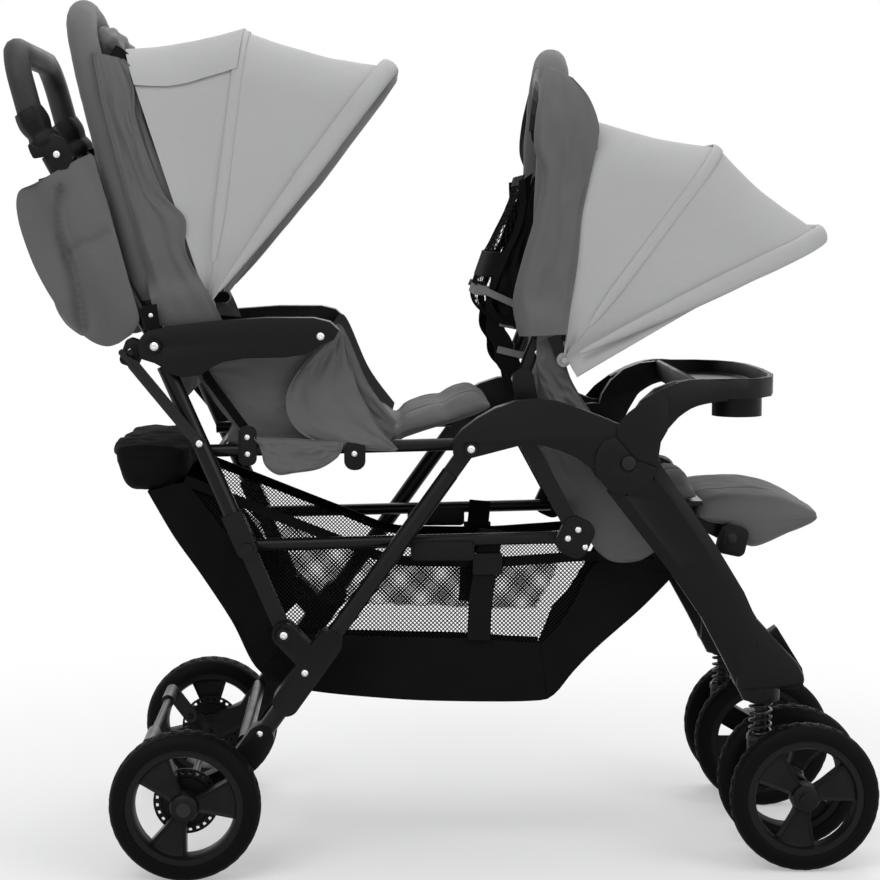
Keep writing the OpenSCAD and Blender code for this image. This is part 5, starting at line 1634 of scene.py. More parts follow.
@dataclass
class Seats:
    """The seat cushions, their side cloths, the calf rest and the harnesses."""

    wall: float = 0.1475
    seam: float = 0.075
    seam_depth: float = 0.004
    creases: Creases = ((20, 0.0018, 1.0), (55, 0.0005, 6.0))
    lap: tuple[Triple, ...] = ((0.0, 0.1, 0.004), (-0.002, 0.07, 0.011), (0.0, 0.02, 0.009))
    strap_thick: float = 0.0024
    buckle: Triple = (0.042, 0.05, 0.012)
    rear_low: Edge = (
        (-0.312, 0.622), (-0.288, 0.586), (-0.262, 0.556), (-0.24, 0.544), (-0.19, 0.54), (-0.127, 0.538),
        (-0.07, 0.536),
    )
    rear_high: Edge = (
        (-0.318, 0.642), (-0.262, 0.652), (-0.2, 0.66), (-0.152, 0.676), (-0.131, 0.688), (-0.098, 0.616),
        (-0.062, 0.566),
    )
    leaf_low: Edge = (
        (-0.133, 0.684), (-0.172, 0.648), (-0.197, 0.612), (-0.2, 0.582), (-0.185, 0.556), (-0.155, 0.541),
        (-0.11, 0.533), (-0.064, 0.531),
    )
    leaf_high: Edge = (
        (-0.129, 0.682), (-0.124, 0.656), (-0.117, 0.632), (-0.109, 0.606), (-0.097, 0.584),
        (-0.086, 0.566), (-0.074, 0.55), (-0.06, 0.534),
    )
    skirt_low: Edge = (
        (-0.232, 0.536), (-0.228, 0.515), (-0.212, 0.502), (-0.19, 0.504), (-0.16, 0.509), (-0.138, 0.522),
        (-0.13, 0.534),
    )
    skirt_high: Edge = (
        (-0.243, 0.55), (-0.225, 0.549), (-0.2, 0.548), (-0.18, 0.547), (-0.165, 0.546), (-0.145, 0.545),
        (-0.128, 0.543),
    )
    front_low: Edge = (
        (0.123, 0.53), (0.14, 0.486), (0.155, 0.459), (0.17, 0.436), (0.184, 0.414), (0.1973, 0.3968),
        (0.218, 0.385), (0.251, 0.3874), (0.2746, 0.4039),
    )
    front_high: Edge = (
        (0.152, 0.552), (0.186, 0.54), (0.222, 0.52), (0.252, 0.498), (0.276, 0.476), (0.295, 0.45),
        (0.304, 0.428), (0.296, 0.408),
    )

    def build(self) -> None:
        """Makes both seats."""
        self._cushion("rear", "rear_seat")
        self._cushion("front", "front_frame")
        for side, sign in SIDES.items():
            self._rear_side(side, sign)
            self._front_side(side, sign)
        for name, body in (("rear", "rear_seat"), ("front", "front_frame")):
            self._harness(name, body)

    def _cushion(self, name: str, body: str) -> None:
        """Fills one seat cushion and sews its channels.

        Args:
            name: rear or front.
            body: The body that it moves with.
        """
        node = f"{name}_seat_pad"
        pad = inflate(node_copy(node, f"{name}_seat_cushion"), 0.0018, 0.006)

        def depth(place: Vector, normal: Vector) -> float:
            """Returns how far the cushion's skin moves at a place."""
            seam = groove(abs(place.y) - self.seam, 0.004)
            return creased(place, self.creases) - self.seam_depth * seam * max(0, normal.z)

        press(pad, depth)
        dress(smooth(pad, 80), DARK_CLOTH, body, node)

    def _cloth(
        self, name: str, low: Edge, high: Edge, sign: int, body: str, off: Point, full: float, seed: float,
        *nodes: str
    ) -> None:
        """Makes one soft side cloth with a turned hem.

        Args:
            name: The piece's name.
            low: The first edge.
            high: The second edge.
            sign: -1 for the near side and 1 for the far side.
            body: The body that it moves with.
            off: How far its start and its end stand off the wall.
            full: How far its middle swells.
            seed: What sets its creases apart.
            *nodes: The CAD nodes that it stands for.
        """
        def outer(u: float, v: float, place: Vector) -> float:
            """Returns how far out the cloth's face stands."""
            near = min(u, 1 - u, v, 1 - v)
            rim = min(1.0, near / 0.08)
            hem = groove(near - 0.035, 0.012)
            crease = ripple(Vector((u, v * 1.6, seed)), 3.2, seed) * 0.0048
            crease += ripple(Vector((u, v, seed)), 9) * 0.0022
            swell = full * math.sin(math.pi * u) ** 0.7 * math.sin(math.pi * v) ** 0.7
            return self.wall + stand(v) + 0.0018 + (swell + crease) * rim - 0.0012 * hem

        def stand(v: float) -> float:
            """Returns how far the cloth stands off the wall."""
            return off[0] + (off[1] - off[0]) * v

        def inner(u: float, v: float, place: Vector) -> float:
            """Returns how far out the cloth's back stands."""
            return self.wall + stand(v) - 0.0012

        panel = flat_panel(name, low, high, sign, outer, inner, 30, 70)
        dress(panel, DARK_CLOTH, body, *nodes)

    def _rear_side(self, side: str, sign: int) -> None:
        """Makes the rear seat's side cloth, its leaf-shaped flap and the skirt under it.

        Args:
            side: right or left.
            sign: -1 for the near side and 1 for the far side.
        """
        nodes = ("rear_seat_sides",) if sign < 0 else ()
        for part, low, high, off, full, seed, stood in (
            ("side", self.rear_low, self.rear_high, (0, 0), 0.004, 1.0, nodes),
            ("leaf", self.leaf_low, self.leaf_high, (0.013, 0.0285), 0.003, 2.5, ()),
            ("skirt", self.skirt_low, self.skirt_high, (0.029, 0.028), 0.002, 4.0, ()),
        ):
            self._cloth(f"rear_seat_{part}_{side}", low, high, sign, "rear_seat", off, full, seed, *stood)

    def _front_side(self, side: str, sign: int) -> None:
        """Makes the front seat's hanging side cloth with its hem."""
        nodes = ("front_seat_sides",) if sign < 0 else ()
        self._cloth(f"front_seat_side_{side}", self.front_low, self.front_high, sign, "front_frame", (0, 0),
                    0.006, 7.0, *nodes)

    def _harness(self, name: str, body: str) -> None:
        """Makes the lap straps and the buckle of one seat.

        Args:
            name: rear or front.
            body: The body that they move with.
        """
        node = f"{name}_harness"
        low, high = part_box(node)
        middle = (low + high) / 2
        straps = []
        for side, sign in SIDES.items():
            path = smooth_line([(middle.x + x, sign * y, low.z + z) for x, y, z in self.lap], 18)
            straps.append(strap(f"{node}_strap_{side}", path, Vector((1, 0, 0)), 0.025, self.strap_thick))
        path = smooth_line([(high.x - 0.004, 0, low.z + 0.003), (middle.x + 0.02, 0, low.z + 0.009),
                            (middle.x, 0, low.z + 0.009)], 14)
        straps.append(strap(f"{node}_crotch_strap", path, Vector((0, 1, 0)), 0.03, self.strap_thick))
        dress(join(f"{node}_straps", straps), WEBBING, body, node)
        buckle = block(f"{name}_buckle", (middle.x, 0, low.z + self.buckle[2]), self.buckle)
        with editing(buckle) as mesh:
            choose(buckle, [f for f in mesh.faces if f.normal.z > 0.9])
            bpy.ops.mesh.inset(thickness=0.008, depth=0.0)
            bpy.ops.mesh.extrude_region_move(TRANSFORM_OT_translate={"value": (0, 0, 0.0024)})
        soften(buckle, 0.0022)
        dress(buckle, PLASTIC, body)


@dataclass
class Basket:
    """The shopping basket: black cloth below and at the ends, net windows, rims, straps and a rear pouch."""

    body: str = "rear_frame"
    half: float = 0.1455
    cloth: float = 0.0016
    floor: Edge = (
        (-0.378, 0.478), (-0.345, 0.42), (-0.311, 0.371), (-0.272, 0.31), (-0.238, 0.246), (-0.184, 0.222),
        (-0.07, 0.209), (0.02, 0.205), (0.112, 0.205), (0.139, 0.212), (0.165, 0.243), (0.196, 0.275),
        (0.252, 0.325), (0.292, 0.366),
    )
    rim: Edge = (
        (-0.331, 0.492), (-0.26, 0.464), (-0.19, 0.436), (-0.134, 0.414), (-0.07, 0.39), (0.0, 0.386),
        (0.073, 0.386), (0.14, 0.39), (0.201, 0.392), (0.286, 0.377),
    )
    band_low: Edge = (
        (-0.238, 0.246), (-0.184, 0.222), (-0.07, 0.209), (0.02, 0.205), (0.112, 0.205), (0.14, 0.213),
    )
    band_high: Edge = (
        (-0.212, 0.296), (-0.16, 0.292), (-0.07, 0.289), (0.029, 0.286), (0.1, 0.281), (0.14, 0.279),
    )
    front_low: Edge = ((0.132, 0.207), (0.165, 0.243), (0.196, 0.275), (0.252, 0.325), (0.292, 0.366))
    front_high: Edge = ((0.124, 0.278), (0.147, 0.304), (0.166, 0.334), (0.2, 0.386), (0.284, 0.378))
    rear_low: Edge = ((-0.378, 0.478), (-0.345, 0.42), (-0.311, 0.371), (-0.272, 0.31), (-0.238, 0.246))
    rear_high: Edge = ((-0.328, 0.49), (-0.296, 0.446), (-0.262, 0.402), (-0.226, 0.346), (-0.196, 0.288))
    window: Edge = (
        (-0.335, 0.496), (-0.26, 0.468), (-0.134, 0.418), (-0.07, 0.394), (0.073, 0.39), (0.204, 0.396),
        (0.17, 0.334), (0.136, 0.272), (-0.07, 0.28), (-0.208, 0.284), (-0.262, 0.396),
    )
    far_drop: float = 0.045
    far_shift: float = 0.036
    least_z: float = 0.228
    front_lap: float = 0.006
    sag: float = 0.004
    sag_from: float = -0.2
    floor_steps: tuple[int, int] = (90, 30)
    strap_x: float = 0.046
    strap_line: Edge = ((0.012, 0.428), (0.008, 0.388), (0.0, 0.34), (-0.003, 0.285))
    slide: Triple = (0.038, 0.006, 0.028)
    strap_w: float = 0.03
    cell: float = 0.0052
    thread: float = 0.0019
    pouch_half: float = 0.166
    pouch_rings: int = 34
    pouch_creases: Creases = ((24, 0.004, 9.0), (60, 0.0012, 2.0))
    pouch_seam: float = 0.522
    pouch_hollow: float = 0.02
    pouch: Edge = (
        (-0.424, 0.527), (-0.417, 0.541), (-0.4, 0.547), (-0.3766, 0.547), (-0.345, 0.545), (-0.3254, 0.53),
        (-0.3293, 0.4994), (-0.353, 0.4836), (-0.3806, 0.4777), (-0.4062, 0.4836), (-0.42, 0.5114),
    )

    def build(self) -> None:
        """Makes the cloths, the nets, the rims, the straps and the pouch."""
        self._floor()
        for side, sign in SIDES.items():
            drop = self.far_drop if sign > 0 else 0.0
            high = [(x, max(z - drop, self.least_z)) for x, z in self.band_high]
            self._band(f"basket_band_{side}", self.band_low, high, sign, 0.0)
            shift = self.far_shift if sign > 0 else 0.0
            front = [(min(x + shift, self.front_low[-1][0] - self.front_lap), z) for x, z in self.front_high]
            self._band(f"basket_front_side_{side}", self.front_low, front, sign, 0.0009)
            self._band(f"basket_rear_side_{side}", self.rear_low, self.rear_high, sign, 0.0006)
            self._net(side, sign)
            self._rim(side, sign)
            self._strap(side, sign)
        self._pouch()

    def _floor(self) -> None:
        """Makes the one cloth that is back, floor and front, hanging a little between the sides."""
        rows, columns = self.floor_steps
        line = smooth_line(self.floor, rows)
        points = []
        for p in line:
            for t in steps_across(columns):
                y = self.half * t
                hang = 1 - (y / self.half) ** 2
                crease = ripple(Vector((p.x, y, p.y)), 14) * 0.003 * hang
                sag = self.sag * hang * (1 if p.x > self.sag_from else 0)
                points.append(Vector((p.x, y, p.y - sag + crease)))
        piece = mesh_piece("basket_floor_cloth", points, grid_faces(rows, columns))
        smooth(modify(face_outwards(piece), "SOLIDIFY", thickness=self.cloth, offset=0.0), 60)
        dress(piece, BLACK_CLOTH, self.body, "basket")

    def _band(self, name: str, low: Edge, high: Edge, sign: int, off: float) -> None:
        """Makes one black side cloth.

        Args:
            name: The piece's name.
            low: The first edge.
            high: The second edge.
            sign: -1 for the near side and 1 for the far side.
            off: How far it stands off the side.
        """
        def outer(u: float, v: float, place: Vector) -> float:
            """Returns how far out the cloth stands."""
            rim = min(1.0, min(u, 1 - u) / 0.1) * min(1.0, min(v, 1 - v) / 0.04)
            return self.half + off + self.cloth + ripple(Vector((u, v * 3, off)), 3.0, 8.0) * 0.003 * rim

        panel = flat_panel(name, low, high, sign, outer, lining(outer, self.cloth), 14, 80)
        dress(panel, BLACK_CLOTH, self.body)

    def _net(self, side: str, sign: int) -> None:
        """Makes a net window of crossing threads, kept inside its outline.

        Args:
            side: right or left.
            sign: -1 for the near side and 1 for the far side.
        """
        xs, zs = [p[0] for p in self.window], [p[1] for p in self.window]
        columns = round((max(xs) - min(xs)) / self.cell * 2) + 1
        rows = round((max(zs) - min(zs)) / self.cell * 2) + 1
        points = []
        for i in range(rows):
            for j in range(columns):
                x, z = min(xs) + j * self.cell / 2, min(zs) + i * self.cell / 2
                belly = 0.006 * math.sin(math.pi * j / columns * 3) + ripple(Vector((x, 0, z)), 12) * 0.005
                points.append(Vector((x, sign * (self.half - 0.003 + belly * 0.5), z)))
        faces = [f for f in diamonds(rows, columns) if all(self._inside(points[k]) for k in f)]
        net = mesh_piece(f"basket_net_{side}", points, faces)
        with editing(net, "VERT") as mesh:
            for vertex in mesh.verts:
                vertex.select_set(not vertex.link_faces)
            bpy.ops.mesh.delete(type="VERT")
        area = sum(f.area for f in net.data.polygons)
        modify(net, "WIREFRAME", thickness=self.thread, use_replace=True, use_even_offset=False)
        dress(smooth(net, 80), NET_CORD, self.body)
        LOG.info("%s: %.3f square metres of net", net.name, area)

    def _inside(self, place: Vector) -> bool:
        """Returns whether a place lies in the window's outline."""
        found = False
        for (xa, za), (xb, zb) in zip(self.window, (*self.window[1:], self.window[0])):
            if (za > place.z) != (zb > place.z) and place.x < (xb - xa) * (place.z - za) / (zb - za) + xa:
                found = not found
        return found

    def _rim(self, side: str, sign: int) -> None:
        """Makes the folded tape along the top edge."""
        path = side_line(self.rim, sign * (self.half + 0.0006), 60)
        tape = strap(f"basket_rim_{side}", path, Vector((0, 0, 1)), 0.013, 0.0042)
        dress(tape, BLACK_CLOTH, self.body)

    def _strap(self, side: str, sign: int) -> None:
        """Makes the upright webbing with its slide buckle.

        Args:
            side: right or left.
            sign: -1 for the near side and 1 for the far side.
        """
        x, y = self.strap_x, sign * (self.half + 0.0052)
        bow = (0.0, 0.0, sign * 0.001, 0.0)
        path = smooth_line([(x + along, y + out, z) for (along, z), out in zip(self.strap_line, bow)], 24)
        webbing = strap(f"basket_strap_{side}", path, Vector((1, 0, 0)), self.strap_w, 0.0026)
        dress(webbing, WEBBING, self.body)
        slide = block(f"basket_slide_{side}", (x + 0.008, y + sign * 0.002, 0.384), self.slide)
        with editing(slide) as mesh:
            choose(slide, [f for f in mesh.faces if abs(f.normal.y) > 0.9])
            bpy.ops.mesh.inset(thickness=0.006, depth=-0.0016)
        soften(slide, 0.0016)
        dress(slide, PLASTIC, self.body)

    def _pouch(self) -> None:
        """Makes the gathered pouch behind the basket."""
        outline = smooth_line(self.pouch, 40, closed=True)
        middle = sum(outline, Vector((0, 0))) / len(outline)
        rings = []
        for t in steps_across(self.pouch_rings):
            size = pillow(t, 9, 0.06)
            ring = [middle + (p - middle) * size for p in outline]
            rings.append([Vector((p.x, self.pouch_half * t, p.y)) for p in ring])
        pouch = subdivide(loft("basket_rear_pouch", rings))

        def depth(place: Vector, normal: Vector) -> float:
            """Returns how far the pouch's skin moves at a place."""
            seam = groove(place.z - self.pouch_seam - ripple(place, 12) * 0.006, 0.003) * 0.0025
            inner = clamp((self.pouch_half - abs(place.y)) / 0.03)
            hollow = self.pouch_hollow * max(0.0, normal.z - 0.5) * inner
            return creased(place, self.pouch_creases) - seam - hollow

        press(pouch, depth)
        dress(smooth(pouch, 80), BLACK_CLOTH, self.body)


@dataclass
class Mouldings:
    """The plastic and steel pieces whose form comes from the CAD, with softened edges and recessed faces."""

    lip: float = 0.0045
    dip: float = 0.0022
    lobe: Triple = (-0.255, 0.648, 0.62)
    foot: Edge = (
        (0.345, 0.318), (0.3615, 0.294), (0.371, 0.262), (0.3702, 0.226), (0.4158, 0.2265),
        (0.4579, 0.2326), (0.4563, 0.244), (0.4474, 0.261), (0.4211, 0.2888), (0.4, 0.3124),
        (0.3843, 0.3283),
    )
    foot_span: Point = (0.142, 0.1885)
    arch_ends: Point = (0.02, 0.205)
    arch_draw: float = 0.55
    plain: ClassVar[dict[Finish, tuple[str, ...]]] = {
        TUBE: ("rear_legs", "rear_cross_tube", "front_seat_frame", "lower_struts", "upper_struts",
               "seat_rails", "side_links", "handle_tubes", "pivot_pins"),
        DARK_STEEL: ("rear_axle", "brake_bar", "front_stem_right", "front_stem_left"),
        HINGE_CAP: ("rear_canopy_rib", "front_canopy_rib", "rear_canopy_bow", "front_canopy_bow"),
    }
    arch: Edge = (
        (0.0, 0.55), (0.04, 0.557), (0.07, 0.559), (0.1, 0.558), (0.13, 0.552), (0.16, 0.54), (0.19, 0.522),
        (0.22, 0.5),
    )

    def build(self) -> None:
        """Makes the mouldings and paints the plain tubes."""
        for side, sign in SIDES.items():
            out = Vector((0, sign, 0))
            self._mould(f"armrest_{side}", PLASTIC, "upper_strut", out, 0.0012, self._raise_lobe)
            self._mould(f"front_bridge_{side}", PLASTIC, "front_frame", out, 0.0012, self._raise_arch)
            self._mould(f"front_leg_{side}", PLASTIC, "front_frame", out, 0.0011)
            self._mould(f"caster_fork_{side}", PLASTIC, f"caster_{side}", Vector((1, 0, 0)), 0.0009)
            self._mould(f"tray_button_{side}", BUTTON, f"tray_release_{side}", out, 0.0006)
            near, far = (sign * y for y in self.foot_span)
            shell = cut_plate(f"front_foot_shell_{side}", self.foot, near, far)
            dress(soften(shell, 0.0045), PLASTIC, "front_frame")
        top, right = Vector((0, 0, 1)), Vector((0, -1, 0))
        for node, finish, body, face, width in (
            ("tray", PLASTIC, "tray", top, 0.0012),
            ("fold_hubs", PLASTIC, "rear_frame", right, 0.0011),
            ("rear_axle_housings", PLASTIC, "rear_frame", right, 0.0011),
            ("footrest_plate", PLASTIC, "footrest", top, 0.0012),
            ("release_triggers", PLASTIC, "fold_release", right, 0.0009),
            ("lock_hooks", DARK_STEEL, "lock_hook", right, 0.0006),
        ):
            self._mould(node, finish, body, face, width)
        for finish, nodes in self.plain.items():
            for node in nodes:
                paint(node, finish)

    def _raise_lobe(self, place: Vector) -> Vector:
        """Returns a place of the armrest with its hub's underside drawn up."""
        drawn = min(0.0, place.z - self.lobe[1]) * self.lobe[2] if place.x < self.lobe[0] else 0.0
        return Vector((place.x, place.y, place.z - drawn))

    def _raise_arch(self, place: Vector) -> Vector:
        """Returns a place of the bridge with its underside drawn up between the two ends."""
        middle = smooth_line(self.arch, 40)
        line = min(middle, key=lambda p: abs(p.x - place.x)).y
        ends = clamp((place.x - self.arch_ends[0]) / 0.03) * clamp((self.arch_ends[1] - place.x) / 0.03)
        return Vector((place.x, place.y, place.z - min(0.0, place.z - line) * self.arch_draw * ends))

    def _mould(
        self, node: str, finish: Finish, body: str, face: Vector, width: float,
        shape: Callable[[Vector], Vector] | None = None,
    ) -> None:
        """Softens one moulding and presses in its large flat faces.

        Args:
            node: The CAD node.
            finish: Its finish.
            body: The body that it moves with.
            face: The way that its open face looks.
            width: How wide its edges are rounded.
            shape: What draws its points to the photographed outline.
        """
        piece = node_copy(node, f"{node}_moulding")
        if shape is None:
            recess(piece, face, 0.0009, self.lip, self.dip)
        else:
            for vertex in piece.data.vertices:
                vertex.co = shape(vertex.co)
        dress(soften(piece, width), finish, body, node)


@dataclass
class Springs:
    """The coil springs over the front stems."""

    x: float = 0.405
    y: float = 0.163
    low: float = 0.1636
    high: float = 0.2084
    radius: float = 0.0137
    wire: float = 0.0018
    turns: float = 6.0
    keep: float = 0.598
    count: int = 180

    def build(self) -> None:
        """Makes one coil and its copy."""
        first = None
        for side, sign in SIDES.items():
            if first is None:
                first = piece = self._coil(f"front_coil_{side}", sign)
            else:
                piece = copy_of(first, f"front_coil_{side}", Matrix.Translation((0, sign * 2 * self.y, 0)))
            dress(piece, DARK_STEEL, f"suspension_{side}", f"front_spring_{side}")
            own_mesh(piece)

    def _coil(self, name: str, sign: int) -> Piece:
        """Makes a coil whose end turns lie flat.

        Args:
            name: The piece's name.
            sign: -1 for the near side and 1 for the far side.

        Returns:
            The coil.
        """
        path = []
        for i in range(self.count):
            t = i / (self.count - 1)
            turn = t * self.turns * math.tau
            height = self.low + self.wire + clamp((t - 0.12) / 0.76) * (self.high - self.low - 2 * self.wire)
            x, y = self.x + self.radius * math.cos(turn), sign * self.y + self.radius * math.sin(turn)
            path.append(Vector((x, y, height)))
        return tube(name, path, self.wire, 8)


@dataclass
class Footrest:
    """The padded cover round the footrest's plate."""

    outline: Edge = (
        (0.322, 0.448), (0.335, 0.464), (0.366, 0.4705), (0.41, 0.47), (0.445, 0.464), (0.472, 0.452),
        (0.484, 0.4425), (0.479, 0.432), (0.457, 0.419), (0.43, 0.4065), (0.408, 0.3975), (0.394, 0.3985),
        (0.384, 0.408), (0.362, 0.424), (0.336, 0.435),
    )
    half: float = 0.1315
    middle: Point = (0.41, 0.438)
    seam: float = 0.4405
    side_seam: float = 0.062
    creases: Creases = ((26, 0.0018, 3.0), (70, 0.0005, 5.0))
    count: int = 54

    def build(self) -> None:
        """Draws the cover over the plate, crowned, with a welt round its front edge."""
        outline = smooth_line(self.outline, 90, closed=True)
        middle = Vector(self.middle)
        rings = []
        for t in steps_across(self.count):
            size = pillow(t, 14, 0.12)
            wide, tall = 0.9 + 0.1 * size, size * (1 - 0.07 * abs(t) ** 3)
            rings.append([Vector((middle.x + (p.x - middle.x) * wide, self.half * t,
                                  middle.y + (p.y - middle.y) * tall)) for p in outline])
        pad = loft("footrest_cover", rings)
        press(pad, lambda place, normal: creased(place, self.creases)
              - groove(place.z - self.seam + (0.484 - place.x) * 0.1, 0.002) * 0.002
              - groove(abs(place.y) - self.side_seam, 0.003) * 0.002 * max(0.0, normal.z))
        dress(smooth(pad, 80), DARK_CLOTH, "footrest", "footrest_pad")


@dataclass
class StorageBag:
    """The cloth bag that hangs below the handle, with cloth sides that wrap the handle's tubes."""

    body: str = "handle"
    crease: Edge = ((-0.478, 0.856), (-0.481, 0.819), (-0.472, 0.777), (-0.463, 0.741), (-0.457, 0.687))
    cross_crease: Edge = ((-0.472, 0.777), (-0.456, 0.789), (-0.438, 0.793), (-0.42, 0.805))
    hub: Point = ARM_HUB
    lean: float = HANDLE_LEAN
    creases: Creases = ((16, 0.005, 2.0), (42, 0.0014, 8.0))
    side_creases: Creases = ((15, 0.006, 5.0), (40, 0.0016, 1.0))
    tab: tuple[Triple, Triple] = ((-0.3655, 0.1862, 0.686), (-0.3695, 0.1852, 0.716))
    cover: float = 0.1808
    base: float = 0.1595
    thick: float = 0.002
    rear_edge: Edge = (
        (-0.512, 0.865), (-0.53, 0.859), (-0.5355, 0.845), (-0.534, 0.824), (-0.528, 0.8), (-0.515, 0.764),
        (-0.497, 0.729), (-0.477, 0.7), (-0.456, 0.678), (-0.44, 0.667), (-0.424, 0.663), (-0.41, 0.667),
    )
    front_edge: Edge = (
        (-0.442, 0.904), (-0.437, 0.896), (-0.43, 0.872), (-0.418, 0.832), (-0.405, 0.785), (-0.393, 0.74),
        (-0.384, 0.708), (-0.383, 0.694), (-0.392, 0.679),
    )

    def build(self) -> None:
        """Fills the bag, folds its sides and hangs the cloth over the tubes."""
        bag = inflate(node_copy("storage_pouch", "storage_bag"), 0.002, 0.008, 0.0055)
        press(bag, self._fold)
        dress(smooth(bag, 80), DARK_CLOTH, self.body, "storage_pouch")
        for side, sign in SIDES.items():
            self._side(side, sign)
            self._tab(side, sign)

    def _fold(self, place: Vector, normal: Vector) -> float:
        """Returns how far the bag's skin moves at a place."""
        line = min((Vector((place.x, place.z)) - p).length for p in smooth_line(self.crease, 12))
        return creased(place, self.creases) - groove(line, 0.012) * 0.005 * abs(normal.y)

    def _side(self, side: str, sign: int) -> None:
        """Makes the cloth from the bag's rear to the hoop, bulging over the handle's tube.

        Args:
            side: right or left.
            sign: -1 for the near side and 1 for the far side.
        """
        turn = math.radians(self.lean)
        across = Vector((-math.sin(turn), math.cos(turn)))
        folds, across_folds = smooth_line(self.crease, 24), smooth_line(self.cross_crease, 12)

        def outer(u: float, v: float, place: Vector) -> float:
            """Returns how far out the cloth stands, more over the tube."""
            tube_off = (place - Vector(self.hub)).dot(across)
            bulge = math.exp(-((tube_off / 0.036) ** 4))
            rim = min(1.0, 14 * min(u, 1 - u)) * min(1.0, 16 * min(v, 1 - v))
            spot = Vector((place.x, sign * 0.1, place.y))
            crease = creased(spot, self.side_creases) * (1 - bulge * 0.6)
            fold = groove(min((place - p).length for p in folds), 0.008) * 0.012
            fold += groove(min((place - p).length for p in across_folds), 0.007) * 0.005
            return self.base + self.thick + (self.cover - self.base) * bulge + rim * (crease - fold)

        panel = flat_panel(f"storage_bag_side_{side}", self.rear_edge, self.front_edge, sign, outer,
                           lining(outer, self.thick), 50, 90)
        dress(panel, DARK_CLOTH, self.body)

    def _tab(self, side: str, sign: int) -> None:
        """Makes the black strap tab that holds the cloth above the arm's hub."""
        low, high = (Vector((x, sign * y, z)) for x, y, z in self.tab)
        path = [low.lerp(high, t) for t in (0, 0.25, 0.5, 0.75, 1)]
        dress(strap(f"storage_tab_{side}", path, Vector((1, 0, 0.1)), 0.019, 0.003), WEBBING, self.body)


@dataclass
class Handle:
    """The foam grip over the handle's bow, the knobs at its ends and the hooked release levers."""

    hub: Point = ARM_HUB
    lean: float = HANDLE_LEAN
    across: float = 0.1675
    knob: Edge = (
        (0.0148, 0.291), (0.0149, 0.285), (0.015, 0.28), (0.0166, 0.2786), (0.0181, 0.282), (0.0192, 0.287),
        (0.0178, 0.294), (0.0164, 0.299), (0.0184, 0.306), (0.0196, 0.314), (0.0188, 0.324), (0.0172, 0.331),
    )
    lever: Edge = (
        (-0.5147, 0.9048), (-0.5175, 0.9137), (-0.512, 0.9165), (-0.5065, 0.9125), (-0.5, 0.9165),
        (-0.4935, 0.925), (-0.4848, 0.927), (-0.473, 0.922), (-0.4655, 0.911), (-0.4625, 0.896),
        (-0.468, 0.884), (-0.4785, 0.882), (-0.4865, 0.8895), (-0.4905, 0.8985), (-0.4985, 0.8985),
        (-0.5105, 0.8965),
    )
    lever_span: Point = (0.1778, 0.1845)
    grooves: int = 6
    groove_depth: float = 0.035
    sides: int = 40

    def build(self) -> None:
        """Softens the grip's ends, gives it a foam skin and adds the knobs and levers."""
        grip = node_copy("handle_grip", "handle_foam")
        soften(grip, 0.003)
        dress(grip, FOAM, "handle", "handle_grip")
        knob = self._knob()
        for side, sign in SIDES.items():
            other = copy_of(knob, f"handle_knob_{side}", Matrix.Translation((0, sign * self.across, 0)))
            dress(other, PLASTIC, "handle")
            near, far = (sign * y for y in self.lever_span)
            lever = cut_plate(f"release_lever_{side}", self.lever, near, far)
            dress(soften(lever, 0.0022), PLASTIC, "fold_release")
        bpy.data.objects.remove(knob)

    def _knob(self) -> Piece:
        """Turns a knob's profile round the handle's line.

        Returns:
            The knob in the middle plane.
        """
        lean = math.radians(self.lean)
        along = Vector((math.cos(lean), 0, math.sin(lean)))
        ahead, right = Vector((math.sin(lean), 0, -math.cos(lean))), Vector((0, 1, 0))
        rings = []
        for radius, reach in smooth_line(self.knob, 40):
            middle = Vector((self.hub[0], 0, self.hub[1])) + along * reach
            ring = []
            for turn in steps_round(self.sides):
                ridge = 1 + self.groove_depth * math.cos(turn * self.grooves)
                ring.append(middle + (ahead * math.cos(turn) + right * math.sin(turn)) * radius * ridge)
            rings.append(ring)
        return smooth(loft("handle_knob", rings), 50)


